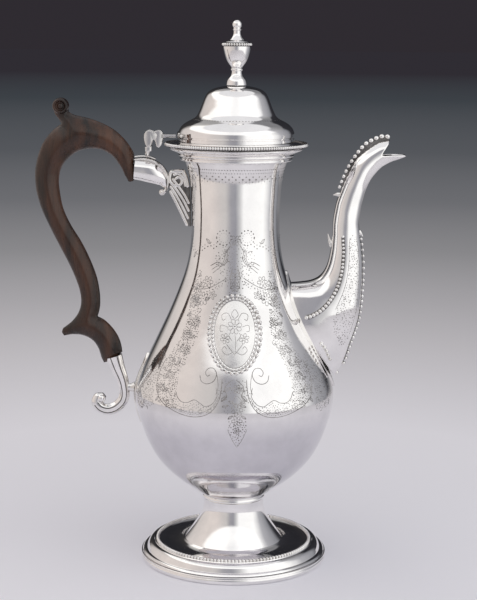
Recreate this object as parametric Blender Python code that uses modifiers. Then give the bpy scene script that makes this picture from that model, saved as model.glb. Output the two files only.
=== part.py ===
"""Silver coffee pot with a pear-shaped body, trumpet foot, beaded S spout, hinged lid and carved wood handle.

Sizes below are millimetres; the helpers turn them into metres. Heights are above the table and radii are
about the pot's own upright axis. +X is the spout, -X the handle and -Y the engraved front.
"""

import math

import bmesh
import bpy
from mathutils import Matrix, Vector

MM = 0.001

# Driving dimensions ------------------------------------------------------------------------------------------
GAP = 0.3                   # clearance between soldered or fitted neighbours
WALL = 1.1                  # body sheet
LID_WALL = 0.9
FOOT_WALL = 0.9
SPOUT_WALL = 0.9

RIM_R = 58.8                # foot rim, outer radius
RIM_H = 4.5
RIM_WIDTH = 4.6
BEAD_RING_R = 48.4          # beaded ring round the foot dish
BEAD_RING_Z = 11.9
BEAD_R = 1.05
STEM_FOOT_R = 30.8          # trumpet where it stands in the dish
STEM_FOOT_Z = 11.6
STEM_WAIST_R = 18.7
STEM_TOP_R = 19.6

LIP_Z = 261.0               # top of the body and of the lip moulding
BODY_BASE_Z = 44.2          # body sheet where it leaves the stem
BELLY_R = 62.4
BELLY_Z = 0.412 * LIP_Z
NECK_R = 27.6
NECK_Z = 0.8276 * LIP_Z
MOUTH_R = 32.2              # body's outer radius inside the lip moulding
LIP_R = 41.1
LIP_DROP = 8.6              # height of the lip moulding

LID_FLANGE_R = 44.3
LID_BAND_R = 35.3
LID_RISE = 37.0             # lip to the crown of the lid
LID_DOME_R = 23.4           # foot of the dome
LID_SHOULDER_R = 17.4
BEZEL_DEPTH = 6.8
BEZEL_CLEARANCE = 1.2       # the far side swings outward as the lid lifts
BEZEL_WALL = 1.0

FINIAL_HEIGHT = 39.5        # crown of the lid to the top of the ball
FINIAL_R = 9.3              # urn at its beaded edge
STUD_R = 1.3

HINGE_OUT = 6.3             # lid flange to the pin, outward
HINGE_UP = 6.3              # lip to the pin, upward
PIN_R = 0.9
PIN_CLEARANCE = 0.3
KNUCKLE_R = 2.2
KNUCKLE_WIDTH = 2.5
KNUCKLE_COUNT = 5

SOCKET_OUT = 18.5           # lid flange to the mouth of the upper socket, outward
SOCKET_DOWN = 14.5          # lip to the middle of that mouth
SOCKET_R = 6.2
TENON_R = 3.0
TENON_LENGTH = 9.0
TENON_CLEARANCE = 0.3
HANDLE_PIN_R = 0.8
HANDLE_DEPTH = 0.85         # section depth across the pot as a share of its width

SCROLL_OUT = 6.2            # belly wall to the middle line of the lower scroll
SCROLL_Z = BELLY_Z - 1.1
LOWER_MOUTH_OUT = 12.6      # belly wall to the mouth of the lower socket
LOWER_MOUTH_Z = BELLY_Z + 21.3

SPOUT_REACH = 104.4         # pot axis to the tip of the pouring lip
SPOUT_TIP_Z = LIP_Z - 5.4
SPOUT_ROOT_X = 47.0         # inside the body, where the spout's middle line starts
SPOUT_ROOT_Z = 0.5747 * LIP_Z
SPOUT_ROOT_HALF = 14.5      # half its breadth at the root
PLATE_THICK = 1.2           # leaf-shaped plates soldered to the body
STRAINER_R = 1.6
STRAINER_PITCH = 6.4

HANDLE_REACH = 124.0
POT_AXIS_X = (HANDLE_REACH - SPOUT_REACH) / 2.0

STEPS = 32                  # sides of the large turned pieces
SMALL_STEPS = 16            # sides of the finial's pieces

SILVER = (0.80, 0.79, 0.80)
WOOD = (0.075, 0.030, 0.020)

# Shapes as shares of the sizes above: height share, radius share ----------------------------------------------
LOWER_BELLY = [(0.0, 0.0), (0.05, 0.13), (0.12, 0.26), (0.27, 0.53), (0.40, 0.70), (0.56, 0.83), (0.72, 0.915),
               (0.88, 0.98), (1.0, 1.0)]
UPPER_BELLY = [(0.0, 0.0), (0.05, 0.012), (0.11, 0.065), (0.18, 0.16), (0.32, 0.37), (0.46, 0.58), (0.60, 0.765),
               (0.73, 0.915), (0.86, 0.985), (1.0, 1.0)]
THROAT = [(0.0, 0.0), (0.3, 0.05), (0.62, 0.22), (0.82, 0.48), (1.0, 1.0)]


def clear_scene():
    for old in list(bpy.data.objects):
        bpy.data.objects.remove(old, do_unlink=True)


def share(table, t):
    """Straight-line reading of a (position, value) table."""
    for (t0, v0), (t1, v1) in zip(table, table[1:]):
        if t <= t1:
            return v0 + (v1 - v0) * (t - t0) / (t1 - t0)
    return table[-1][1]


THROAT_TOP_Z = LIP_Z - LIP_DROP - 0.4


def body_r(z):
    """Outer radius of the body at a height."""
    if z < BELLY_Z:
        low = max(0.0, (z - BODY_BASE_Z) / (BELLY_Z - BODY_BASE_Z))
        return STEM_TOP_R + (BELLY_R - STEM_TOP_R) * share(LOWER_BELLY, low)
    if z < NECK_Z:
        return BELLY_R - (BELLY_R - NECK_R) * share(UPPER_BELLY, (z - BELLY_Z) / (NECK_Z - BELLY_Z))
    up = min(1.0, (z - NECK_Z) / (THROAT_TOP_Z - NECK_Z))
    return NECK_R + (MOUTH_R - NECK_R) * share(THROAT, up)


def table_heights(table, z0, z1):
    return [z0 + (z1 - z0) * t for t, _ in table]


def body_profile():
    """(radius, height) from the mouth down to the bottom on the axis."""
    heights = [LIP_Z]
    heights += reversed(table_heights(THROAT, NECK_Z, THROAT_TOP_Z))
    heights += list(reversed(table_heights(UPPER_BELLY, BELLY_Z, NECK_Z)))[1:]
    heights += list(reversed(table_heights(LOWER_BELLY, BODY_BASE_Z, BELLY_Z)))[1:]
    points = [(body_r(z), z) for z in heights]
    bottom = BODY_BASE_Z - 3.6
    points += [(STEM_TOP_R * 0.6, BODY_BASE_Z - 2.6), (0.0, bottom)]
    return points


def smooth(points, per_span):
    """A Catmull-Rom line through points of any number of values."""
    ends = [points[0]] + list(points) + [points[-1]]
    out = []
    for i in range(1, len(ends) - 2):
        for k in range(per_span):
            t = k / per_span
            row = []
            for a, b, c, d in zip(ends[i - 1], ends[i], ends[i + 1], ends[i + 2]):
                row.append(0.5 * (2 * b + (c - a) * t + (2 * a - 5 * b + 4 * c - d) * t * t
                                  + (3 * b - a - 3 * c + d) * t ** 3))
            out.append(tuple(row))
    out.append(tuple(points[-1]))
    return out


# Scene set-up ------------------------------------------------------------------------------------------------
clear_scene()
parts = bpy.data.collections.new("silver_coffee_pot")
cutters = bpy.data.collections.new("cutters")
bpy.context.scene.collection.children.link(parts)
bpy.context.scene.collection.children.link(cutters)

HINGE = Vector((-(LID_FLANGE_R + HINGE_OUT), 0.0, LIP_Z + HINGE_UP))

pot_axis = bpy.data.objects.new("pot_axis", None)
pot_axis.location = (POT_AXIS_X * MM, 0.0, 0.0)
parts.objects.link(pot_axis)
lid_axis = bpy.data.objects.new("lid_hinge_axis", None)
lid_axis.parent = pot_axis
lid_axis.location = HINGE * MM
parts.objects.link(lid_axis)


def finish_material(name, colour, roughness, metallic):
    mat = bpy.data.materials.new(name)
    mat.use_nodes = True
    shader = mat.node_tree.nodes["Principled BSDF"]
    shader.inputs["Base Color"].default_value = (*colour, 1.0)
    shader.inputs["Roughness"].default_value = roughness
    shader.inputs["Metallic"].default_value = metallic
    mat.diffuse_color = (*colour, 1.0)
    return mat


def place(obj, lid=False):
    """Hang an object, whose mesh is in pot-axis coordinates, on the pot or on the lid's hinge axis."""
    obj.parent = lid_axis if lid else pot_axis
    obj.location = -HINGE * MM if lid else (0.0, 0.0, 0.0)
    return obj


def as_part(obj, lid=False, wood=False):
    parts.objects.link(obj)
    if wood:
        obj.data.materials.append(finish_material(obj.name, WOOD, 0.35, 0.0))
    else:
        obj.data.materials.append(finish_material(obj.name, SILVER, 0.12, 1.0))
    return place(obj, lid)


def as_cutter(obj):
    cutters.objects.link(obj)
    obj.hide_render = True
    obj.display_type = "WIRE"
    return place(obj)


def boolean(target, other, operation):
    mod = target.modifiers.new(operation.lower() + "_" + other.name, "BOOLEAN")
    mod.object = other
    mod.operation = operation
    mod.solver = "EXACT"


def turned(name, profile, closed, steps=STEPS):
    """Spin a (radius, height) line; a closed one goes down outside and up inside."""
    count = len(profile)
    mesh = bpy.data.meshes.new(name)
    edges = [(i, i + 1) for i in range(count - 1)]
    if closed:
        edges.append((count - 1, 0))
    mesh.from_pydata([(r * MM, 0.0, z * MM) for r, z in profile], edges, [])
    obj = bpy.data.objects.new(name, mesh)
    screw = obj.modifiers.new("turn", "SCREW")
    screw.axis = "Z"
    screw.steps = steps
    screw.render_steps = steps
    screw.use_merge_vertices = True
    screw.merge_threshold = 0.00001
    screw.use_smooth_shade = True
    return obj


def thicken(obj, wall):
    shell = obj.modifiers.new("sheet", "SOLIDIFY")
    shell.thickness = wall * MM
    shell.offset = -1.0
    shell.use_even_offset = True
    return obj


def from_bmesh(name, bm):
    mesh = bpy.data.meshes.new(name)
    bm.to_mesh(mesh)
    bm.free()
    mesh.shade_smooth()
    mesh.set_sharp_from_angle(angle=math.radians(35.0))
    return bpy.data.objects.new(name, mesh)


def curve_mesh(name, curve):
    """The welded mesh of a curve, so that it can be cut and joined."""
    guide = bpy.data.objects.new(name + "_curve", curve)
    cutters.objects.link(guide)
    graph = bpy.context.evaluated_depsgraph_get()
    graph.update()
    mesh = bpy.data.meshes.new_from_object(guide.evaluated_get(graph))
    bpy.data.objects.remove(guide)
    bm = bmesh.new()
    bm.from_mesh(mesh)
    bpy.data.meshes.remove(mesh)
    bmesh.ops.remove_doubles(bm, verts=bm.verts, dist=0.00001)
    bmesh.ops.recalc_face_normals(bm, faces=bm.faces)
    return bm


def tube(name, stations, depth=1.0, resolution=2, cyclic=False):
    """A round rod through (x, y, z, radius) stations, its section scaled by depth across the pot."""
    curve = bpy.data.curves.new(name, "CURVE")
    curve.dimensions = "3D"
    curve.bevel_depth = MM
    curve.bevel_resolution = resolution
    curve.use_fill_caps = not cyclic
    line = curve.splines.new("POLY")
    line.points.add(len(stations) - 1)
    line.use_cyclic_u = cyclic
    for point, (x, y, z, radius) in zip(line.points, stations):
        point.co = (x * MM, y * MM, z * MM, 1.0)
        point.radius = radius
    bm = curve_mesh(name, curve)
    bmesh.ops.scale(bm, vec=(1.0, depth, 1.0), verts=bm.verts)
    return from_bmesh(name, bm)


def flat_rod(name, stations, depth, resolution=2):
    """A rod in the plane of the handle and spout, from (x, z, radius) stations."""
    return tube(name, [(x, 0.0, z, r) for x, z, r in stations], depth, resolution)


def plate_bmesh(name, outline, half_width):
    """A flat outline in (x, z), as thick as twice half_width across the pot."""
    curve = bpy.data.curves.new(name, "CURVE")
    curve.dimensions = "2D"
    curve.fill_mode = "BOTH"
    curve.extrude = half_width * MM
    line = curve.splines.new("POLY")
    line.points.add(len(outline) - 1)
    line.use_cyclic_u = True
    for point, (x, z) in zip(line.points, outline):
        point.co = (x * MM, z * MM, 0.0, 1.0)
    bm = curve_mesh(name, curve)
    bmesh.ops.rotate(bm, cent=(0, 0, 0), matrix=Matrix.Rotation(math.pi / 2, 3, "X"), verts=bm.verts)
    return bm


def plate(name, outline, half_width, y=0.0):
    bm = plate_bmesh(name, outline, half_width)
    bmesh.ops.translate(bm, vec=(0.0, y * MM, 0.0), verts=bm.verts)
    return from_bmesh(name, bm)


def rod_bmesh(bm, start, end, radius, sides=12, end_radius=None):
    """Add a straight round rod or cone between two points."""
    start = Vector(start)
    run = Vector(end) - start
    far = radius if end_radius is None else end_radius
    turn = run.to_track_quat("Z", "Y").to_matrix().to_4x4()
    mid = Matrix.Translation((start + run / 2) * MM)
    bmesh.ops.create_cone(bm, cap_ends=True, segments=sides, radius1=radius * MM, radius2=far * MM,
                          depth=run.length * MM, matrix=mid @ turn)


def rod(name, start, end, radius, sides=12, end_radius=None):
    bm = bmesh.new()
    rod_bmesh(bm, start, end, radius, sides, end_radius)
    return from_bmesh(name, bm)


def box(name, low, high):
    bm = bmesh.new()
    bmesh.ops.create_cube(bm, size=1.0)
    size = [b - a for a, b in zip(low, high)]
    bmesh.ops.scale(bm, vec=[s * MM for s in size], verts=bm.verts)
    middle = [(a + b) / 2 * MM for a, b in zip(low, high)]
    bmesh.ops.translate(bm, vec=middle, verts=bm.verts)
    return from_bmesh(name, bm)


def ring_of(major, z, minor, sides=6):
    """Closed round profile of a wire ring."""
    turn = 2 * math.pi / sides
    return [(major + minor * math.cos(math.pi / 2 - k * turn), z + minor * math.sin(math.pi / 2 - k * turn))
            for k in range(sides)]


# Foot --------------------------------------------------------------------------------------------------------
def make_foot():
    inner = RIM_R - RIM_WIDTH
    lip = RIM_R - 1.3
    rim = [(lip + 0.2, RIM_H), (RIM_R - 0.1, RIM_H - 0.2), (RIM_R, RIM_H / 2), (RIM_R - 0.3, 0.0), (inner, 0.0),
           (inner, RIM_H - FOOT_WALL - GAP), (lip, RIM_H - FOOT_WALL - GAP)]
    as_part(turned("foot_rim", rim, True))

    seat = BEAD_RING_Z - BEAD_R - GAP
    ring_in = BEAD_RING_R - 1.9
    ring_out = BEAD_RING_R + 1.7
    edge = lip - GAP
    rise = seat - RIM_H
    run = edge - ring_out
    dish = [(edge, RIM_H), (edge - 0.35 * run, RIM_H + 0.12 * rise), (edge - 0.42 * run, RIM_H + 0.42 * rise),
            (edge - 0.62 * run, RIM_H + 0.82 * rise), (ring_out, seat), (ring_in, seat)]
    hollow = STEM_FOOT_R + GAP
    width = ring_in - hollow
    low = STEM_FOOT_Z - 2.6
    dish += [(ring_in - 0.25 * width, low + 0.5), (ring_in - 0.55 * width, low),
             (hollow + 0.18 * width, low + 0.5), (hollow, STEM_FOOT_Z - 1.0)]
    dish.reverse()
    as_part(thicken(turned("foot_dish", dish, False), FOOT_WALL))
    as_part(turned("foot_bead_ring", ring_of(BEAD_RING_R, BEAD_RING_Z, BEAD_R), True))

    top = BODY_BASE_Z - 1.2
    height = top - STEM_FOOT_Z
    spread = STEM_FOOT_R - STEM_WAIST_R
    flare = [(0.88, 0.02), (0.75, 0.0), (0.62, 0.01), (0.53, 0.09), (0.44, 0.24), (0.33, 0.5), (0.22, 0.73),
             (0.1, 0.92), (0.0, 1.0)]
    stem = [(STEM_TOP_R - 0.1, top)]
    stem += [(STEM_WAIST_R + spread * s, STEM_FOOT_Z + height * t) for t, s in flare]
    as_part(thicken(turned("foot_stem", stem, False), FOOT_WALL))

    collar_in = STEM_TOP_R + GAP
    collar = [(collar_in + 0.7, top + 0.5), (collar_in + 1.0, top - 0.1), (collar_in + 0.7, top - 0.8),
              (collar_in, top - 1.0), (collar_in, top + 0.4)]
    as_part(turned("foot_collar", collar, True))


# Body --------------------------------------------------------------------------------------------------------
def make_body():
    body = thicken(turned("body", body_profile(), False), WALL)
    holes = bmesh.new()
    for row in range(-2, 3):
        count = 3 if row % 2 == 0 else 2
        z = SPOUT_ROOT_Z + 2.0 + row * STRAINER_PITCH
        for col in range(count):
            y = (col - (count - 1) / 2) * STRAINER_PITCH
            rod_bmesh(holes, (BELLY_R * 0.3, y, z), (BELLY_R * 1.2, y, z), STRAINER_R, 8)
    boolean(body, as_cutter(from_bmesh("strainer_holes", holes)), "DIFFERENCE")
    as_part(body)

    inner = MOUTH_R + GAP
    low = LIP_Z - LIP_DROP
    reach = LIP_R - inner
    lip = [(LIP_R - 0.6, LIP_Z), (LIP_R, LIP_Z - 0.9), (LIP_R - 0.6, LIP_Z - 1.9),
           (inner + 0.5 * reach, LIP_Z - 3.2), (inner + 0.35 * reach, LIP_Z - 5.0),
           (inner + 0.28 * reach, LIP_Z - 6.6), (inner + 0.1 * reach, low), (inner, low), (inner, LIP_Z)]
    as_part(turned("lip_moulding", lip, True))


def body_layer(name, near, far):
    """Solid of the body's outer shape grown by far, less the shape grown by near when that is given."""
    rows = body_profile()[1:-2]
    outer = [(r + far, z) for r, z in rows]
    if near is None:
        points = [(0.0, rows[0][1])] + outer + [(0.0, rows[-1][1])]
        return as_cutter(turned(name, points, False))
    inner = [(r + near, z) for r, z in reversed(rows)]
    return as_cutter(turned(name, outer + inner, True))


def leaf(name, layer, side, top, bottom, wide, shape):
    """A pointed plate lying on a turned surface, as the part of its layer inside a (width, height) outline."""
    edge = [(wide * w, bottom + (top - bottom) * t) for t, w in shape]
    outline = edge + [(-y, z) for y, z in reversed(edge) if abs(y) > 0.01]
    reach = BELLY_R * 0.75
    bm = plate_bmesh(name, outline, reach / 2)
    turn = Matrix.Rotation(math.pi / 2, 3, "Z")
    bmesh.ops.rotate(bm, cent=(0, 0, 0), matrix=turn, verts=bm.verts)
    bmesh.ops.translate(bm, vec=(side * (reach / 2 + BELLY_R * 0.3) * MM, 0, 0), verts=bm.verts)
    obj = from_bmesh(name, bm)
    boolean(obj, layer, "INTERSECT")
    return obj


# Spout -------------------------------------------------------------------------------------------------------
# Each station: crest point and underside point as (share of the way from root to tip, offset square to it),
# then half the breadth. Offsets are positive away from the pot.
def spout_point(along, out):
    root = Vector((SPOUT_ROOT_X, SPOUT_ROOT_Z))
    tip = Vector((SPOUT_REACH, SPOUT_TIP_Z))
    run = tip - root
    square = Vector((run.y, -run.x)).normalized()
    return root + run * along + square * out


SPOUT_STATIONS = [
    ((1.031, -13.8), (1.000, 0.0), 6.4),
    ((0.996, -19.2), (0.941, -6.3), 6.7),
    ((0.914, -24.3), (0.877, -10.5), 6.9),
    ((0.824, -26.2), (0.813, -12.0), 7.1),
    ((0.728, -25.5), (0.751, -11.5), 7.3),
    ((0.641, -24.0), (0.685, -9.4), 7.5),
    ((0.530, -19.9), (0.581, -4.5), 7.9),
    ((0.437, -14.4), (0.488, 3.2), 8.7),
    ((0.358, -10.9), (0.390, 10.9), 9.9),
    ((0.271, -9.2), (0.303, 16.7), 11.4),
    ((0.200, -12.3), (0.219, 21.1), 12.8),
    ((0.166, -18.6), (0.130, 24.5), 13.9),
    ((0.153, -24.8), (-0.013, 26.5), SPOUT_ROOT_HALF),
    ((0.111, -30.0), (-0.138, 23.8), SPOUT_ROOT_HALF),
    ((0.054, -34.2), (-0.222, 17.9), SPOUT_ROOT_HALF),
]


def spout_section(i):
    """Crest point, underside point and half breadth at a station, read between stations for a fraction."""
    low = min(int(i), len(SPOUT_STATIONS) - 2)
    t = i - low
    (a0, b0, w0), (a1, b1, w1) = SPOUT_STATIONS[low], SPOUT_STATIONS[low + 1]
    crest = spout_point(*a0).lerp(spout_point(*a1), t)
    under = spout_point(*b0).lerp(spout_point(*b1), t)
    return crest, under, w0 + (w1 - w0) * t


def spout_surface(i, angle, out=0.0):
    """A point on the spout, angle 0 at its crest and 90 degrees on its -Y side, moved out from the metal."""
    crest, under, half = spout_section(i)
    middle = (crest + under) / 2
    rise = (crest - under) / 2
    c = math.cos(angle)
    s = math.sin(angle)
    normal = Vector((rise.x / rise.length * c / rise.length, -s / half, rise.y / rise.length * c / rise.length))
    point = Vector((middle.x + rise.x * c, -half * s, middle.y + rise.y * c))
    return point + normal.normalized() * out


def spout_loft(name, grow=0.0):
    """The spout's outer skin as rings of points, open at both ends."""
    sides = 16
    bm = bmesh.new()
    rings = []
    for i in range(len(SPOUT_STATIONS)):
        turn = [2 * math.pi * k / sides for k in range(sides)]
        rings.append([bm.verts.new(spout_surface(i, a, grow) * MM) for a in turn])
    for upper, lower in zip(rings, rings[1:]):
        for k in range(sides):
            n = (k + 1) % sides
            bm.faces.new((upper[k], lower[k], lower[n], upper[n]))
    if grow:
        bm.faces.new(rings[0])
        bm.faces.new(list(reversed(rings[-1])))
    return from_bmesh(name, bm)


def on_spout(stations, radius):
    """Wire stations lying on the spout from (station, degrees) pairs."""
    out = []
    for i, degrees in stations:
        p = spout_surface(i, math.radians(degrees), GAP + radius)
        out.append((p.x, p.y, p.z, radius))
    return out


def drop_hook(heights, radius):
    """The lowest point under the spout from which the drop hangs clear of the leaf on the belly."""
    i = len(SPOUT_STATIONS) - 1.0
    hook = spout_section(i)[1]
    while i > 0 and any(hook.x - radius < body_r(hook.y + z) + PLATE_THICK + 3 * GAP for z in heights):
        i -= 0.05
        hook = spout_section(i)[1]
    return hook


def make_spout():
    keep_out = body_layer("body_keep_out", None, GAP)
    spout = thicken(spout_loft("spout"), SPOUT_WALL)
    boolean(spout, keep_out, "DIFFERENCE")
    as_part(spout)

    side = [(6.6, 68), (7.0, 70), (7.5, 72), (8.0, 74), (8.5, 75), (9.0, 77), (9.5, 80), (10.0, 83), (10.5, 83),
            (11.0, 82), (11.5, 80)]
    as_part(tube("spout_beads_near", on_spout(side, 0.9)))
    as_part(tube("spout_beads_far", on_spout([(i, -a) for i, a in side], 0.9)))
    front = [(6.2 + 0.55 * k, 180) for k in range(11)]
    as_part(tube("spout_beads_front", on_spout(front, 0.8)))

    inner = [spout_surface(i / 2, 0.0, GAP) for i in range(1, 11)]
    outer = [spout_surface(i / 2, 0.0, GAP + 3.6) for i in range(10, -1, -1)]
    comb = plate("spout_crest", [(p.x, p.z) for p in inner + outer], 0.9)
    as_part(comb)

    thorns = [("spout_spur_crest", 5.6, 0.0, 1.1), ("spout_thorn_back", 7.1, 0.0, 0.9),
              ("spout_thorn_front", 5.9, math.pi, 0.8)]
    for name, i, angle, radius in thorns:
        start = spout_surface(i, angle, GAP + 0.3)
        end = spout_surface(i - 0.15, angle, GAP + 3.6)
        as_part(rod(name, start, end, radius, 8, 0.3))

    layer = body_layer("plate_layer", GAP, GAP + PLATE_THICK)
    pointed = [(0.0, 0.0), (0.06, 0.16), (0.16, 0.5), (0.3, 0.86), (0.45, 1.0), (0.62, 1.0), (0.8, 0.8),
               (0.93, 0.4), (1.0, 0.0)]
    plate_top = SPOUT_ROOT_Z + 34.0
    plate_bottom = SPOUT_ROOT_Z - 39.0
    flange = leaf("spout_flange", layer, 1, plate_top, plate_bottom, SPOUT_ROOT_HALF + 3.0, pointed)
    boolean(flange, as_cutter(spout_loft("spout_keep_out", GAP)), "DIFFERENCE")
    as_part(flange)

    drop = [(0.0, -GAP - 0.8), (0.9, -GAP - 1.6), (1.3, -4.0), (0.8, -7.0), (1.3, -8.8), (1.2, -10.2),
            (0.0, -11.4)]
    tail = drop_hook([z for _, z in drop], 1.3)
    piece = turned("spout_drop", drop, False, 12)
    as_part(piece)
    piece.location = (tail.x * MM, 0.0, tail.y * MM)

    return layer, pointed


# Handle and its silver mounts --------------------------------------------------------------------------------
UPPER_MOUTH = Vector((-(LID_FLANGE_R + SOCKET_OUT), LIP_Z - SOCKET_DOWN))
LOWER_MOUTH = Vector((-(BELLY_R + LOWER_MOUTH_OUT), LOWER_MOUTH_Z))
WOOD_MAIN = [(0.062, 0.7, 3.4), (0.027, 1.9, 5.6), (-0.018, 4.0, 7.0), (-0.065, 6.5, 6.8), (-0.105, 11.0, 6.8),
             (-0.150, 20.9, 8.0), (-0.150, 33.0, 9.0),
             (-0.061, 48.3, 8.9), (0.062, 52.9, 7.8), (0.197, 50.2, 7.1), (0.309, 43.9, 6.3), (0.408, 36.1, 6.3),
             (0.494, 29.3, 6.3), (0.577, 23.7, 6.2), (0.664, 19.7, 6.0), (0.731, 18.6, 5.9), (0.796, 20.2, 6.0),
             (0.852, 26.2, 4.6), (0.900, 33.7, 2.6)]
WOOD_FOOT = [(0.790, 19.8, 5.6), (0.850, 13.4, 7.0), (0.904, 7.3, 7.8), (0.955, 3.6, 8.0), (0.993, 0.6, 7.2)]
WOOD_THUMB = [(-0.150, 26.0, 3.6), (-0.200, 35.9, 4.0), (-0.225, 44.2, 3.4), (-0.249, 48.1, 3.0),
              (-0.287, 48.6, 3.0)]
THUMB_R = 4.6


def handle_point(along, out):
    """Share of the way from the upper socket's mouth to the lower one's, and distance outward."""
    run = LOWER_MOUTH - UPPER_MOUTH
    square = Vector((run.y, -run.x)).normalized()
    return UPPER_MOUTH + run * along + square * out


def handle_stations(table, per_span=2):
    rows = [(*handle_point(along, out), radius) for along, out, radius in table]
    return smooth(rows, per_span)


def scroll_stations():
    """Middle line of the lower silver scroll, from the wood round to the curled end."""
    x = -(BELLY_R + SCROLL_OUT)
    curl = [(2.6, 13.4, 3.6), (0.8, 7.0, 3.2), (0.0, 0.0, 3.0), (2.1, -6.5, 3.1), (5.9, -10.7, 3.3),
            (11.0, -12.5, 3.3), (16.1, -11.3, 3.3), (19.3, -7.6, 3.1), (18.3, -4.2, 2.8), (15.9, -3.6, 2.4)]
    mouth = LOWER_MOUTH - Vector((0.0, GAP))
    rows = [(mouth.x, mouth.y, 4.3)] + [(x - dx, SCROLL_Z + dz, r) for dx, dz, r in curl]
    return smooth(rows, 2)


def socket_stations():
    """Middle line of the upper silver socket, from the wood toward the neck."""
    x = UPPER_MOUTH.x + GAP
    z = UPPER_MOUTH.y
    return smooth([(x, z, SOCKET_R), (x + 5.5, z - 0.2, SOCKET_R + 0.4), (x + 10.5, z - 1.5, SOCKET_R + 0.3),
                   (x + 14.6, z - 4.2, SOCKET_R - 0.6), (x + 17.4, z - 7.4, SOCKET_R - 3.0)], 2)


def make_handle(layer, pointed):
    socket = flat_rod("upper_socket", socket_stations(), HANDLE_DEPTH)
    wood = flat_rod("wood_handle", handle_stations(WOOD_MAIN), HANDLE_DEPTH)
    scroll = flat_rod("lower_socket_scroll", scroll_stations(), HANDLE_DEPTH)

    foot = flat_rod("wood_foot", handle_stations(WOOD_FOOT), HANDLE_DEPTH * 0.96)
    thumb = flat_rod("wood_thumb", handle_stations(WOOD_THUMB), HANDLE_DEPTH)
    roll = handle_point(*WOOD_THUMB[-1][:2])
    half = THUMB_R * 1.1
    curl = rod("wood_roll", (roll.x, -half, roll.y), (roll.x, half, roll.y), THUMB_R, 14)
    for piece in (foot, thumb, curl):
        boolean(wood, as_cutter(piece), "UNION")
    mouth_x = UPPER_MOUTH.x
    reach = SOCKET_R * 3.0
    low_corner = (mouth_x, -reach, UPPER_MOUTH.y - reach)
    high_corner = (mouth_x + reach, reach, UPPER_MOUTH.y + reach)
    boolean(wood, as_cutter(box("wood_end_cut", low_corner, high_corner)), "DIFFERENCE")

    up = UPPER_MOUTH
    low = LOWER_MOUTH
    mouth, after = scroll_stations()[0], scroll_stations()[1]
    into = (Vector((after[0], after[1])) - Vector((mouth[0], mouth[1]))).normalized()
    ends = [(up, Vector((1.0, 0.0)), TENON_R, socket, "upper"), (low, into, TENON_R * 0.8, scroll, "lower")]
    for start, way, radius, silver, name in ends:
        back = start - way * 4.0
        tip = start + way * TENON_LENGTH
        tenon = rod(name + "_tenon", (back.x, 0, back.y), (tip.x, 0, tip.y), radius, 10)
        boolean(wood, as_cutter(tenon), "UNION")
        deep = start + way * (TENON_LENGTH + 1.0)
        bore = rod(name + "_bore", (back.x, 0, back.y), (deep.x, 0, deep.y), radius + TENON_CLEARANCE, 10)
        boolean(silver, as_cutter(bore), "DIFFERENCE")
        at = start + way * TENON_LENGTH * 0.5
        reach = SOCKET_R * 2
        hole = rod(name + "_pin_hole", (at.x, -reach, at.y), (at.x, reach, at.y), HANDLE_PIN_R + GAP, 8)
        as_cutter(hole)
        boolean(silver, hole, "DIFFERENCE")
        boolean(wood, hole, "DIFFERENCE")
        span = (SOCKET_R if name == "upper" else 4.0) * HANDLE_DEPTH - 0.4
        as_part(rod(name + "_handle_pin", (at.x, -span, at.y), (at.x, span, at.y), HANDLE_PIN_R, 8))
    as_part(socket)
    as_part(wood, wood=True)
    as_part(scroll)

    # C-scroll strap over the upper socket, down round its end to a ball
    strap_r = 0.8
    line = socket_stations()
    path = []
    for (x0, z0, r0), (x1, z1, _) in zip(line, line[1:]):
        way = Vector((x1 - x0, z1 - z0)).normalized()
        out = r0 + GAP + strap_r + 0.15
        path.append((x0 - way.y * out, z0 + way.x * out, strap_r))
    end_x, end_z, end_r = line[-1]
    out = end_r + GAP + strap_r + 0.5
    way = Vector((line[-1][0] - line[-2][0], line[-1][1] - line[-2][1])).normalized()
    for degrees in (60, 20, -20):
        a = math.atan2(way.y, way.x) + math.radians(degrees)
        path.append((end_x + out * math.cos(a), end_z + out * math.sin(a), strap_r))
    path.append((path[-1][0] - 1.0, path[-1][1] - 1.6, 1.6))
    as_part(flat_rod("upper_scroll_strap", path, 2.2))

    # bracket between the strap and the neck
    strap_right = max(x for x, _, _ in path) + strap_r + GAP
    top = UPPER_MOUTH.y - 0.5
    foot_z = UPPER_MOUTH.y - 34.5
    wall = [(-(body_r(top + (foot_z - top) * t / 5) + GAP), top + (foot_z - top) * t / 5) for t in range(6)]
    bracket = wall + [(wall[-1][0] - 2.0, foot_z - 0.6), (strap_right + 5.6, foot_z + 12.5),
                      (strap_right + 1.0, foot_z + 22.0), (strap_right, top - 5.0), (strap_right + 2.2, top - 0.6),
                      (strap_right + 5.0, top + 0.4)]
    as_part(plate("upper_backplate", bracket, 3.6))

    as_part(leaf("lower_backplate", layer, -1, SCROLL_Z + 25.0, SCROLL_Z - 20.0, 5.0, pointed))
    near = -(BELLY_R + GAP + PLATE_THICK + GAP)
    strut = box("lower_strut", (near - 3.4, -2.4, SCROLL_Z - 3.0), (near, 2.4, SCROLL_Z + 8.0))
    clear = [(x, z, r + GAP) for x, z, r in scroll_stations()]
    boolean(strut, as_cutter(flat_rod("scroll_keep_out", clear, HANDLE_DEPTH)), "DIFFERENCE")
    as_part(strut)


# Lid ---------------------------------------------------------------------------------------------------------
LID_SEAT = LIP_Z + GAP


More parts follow.
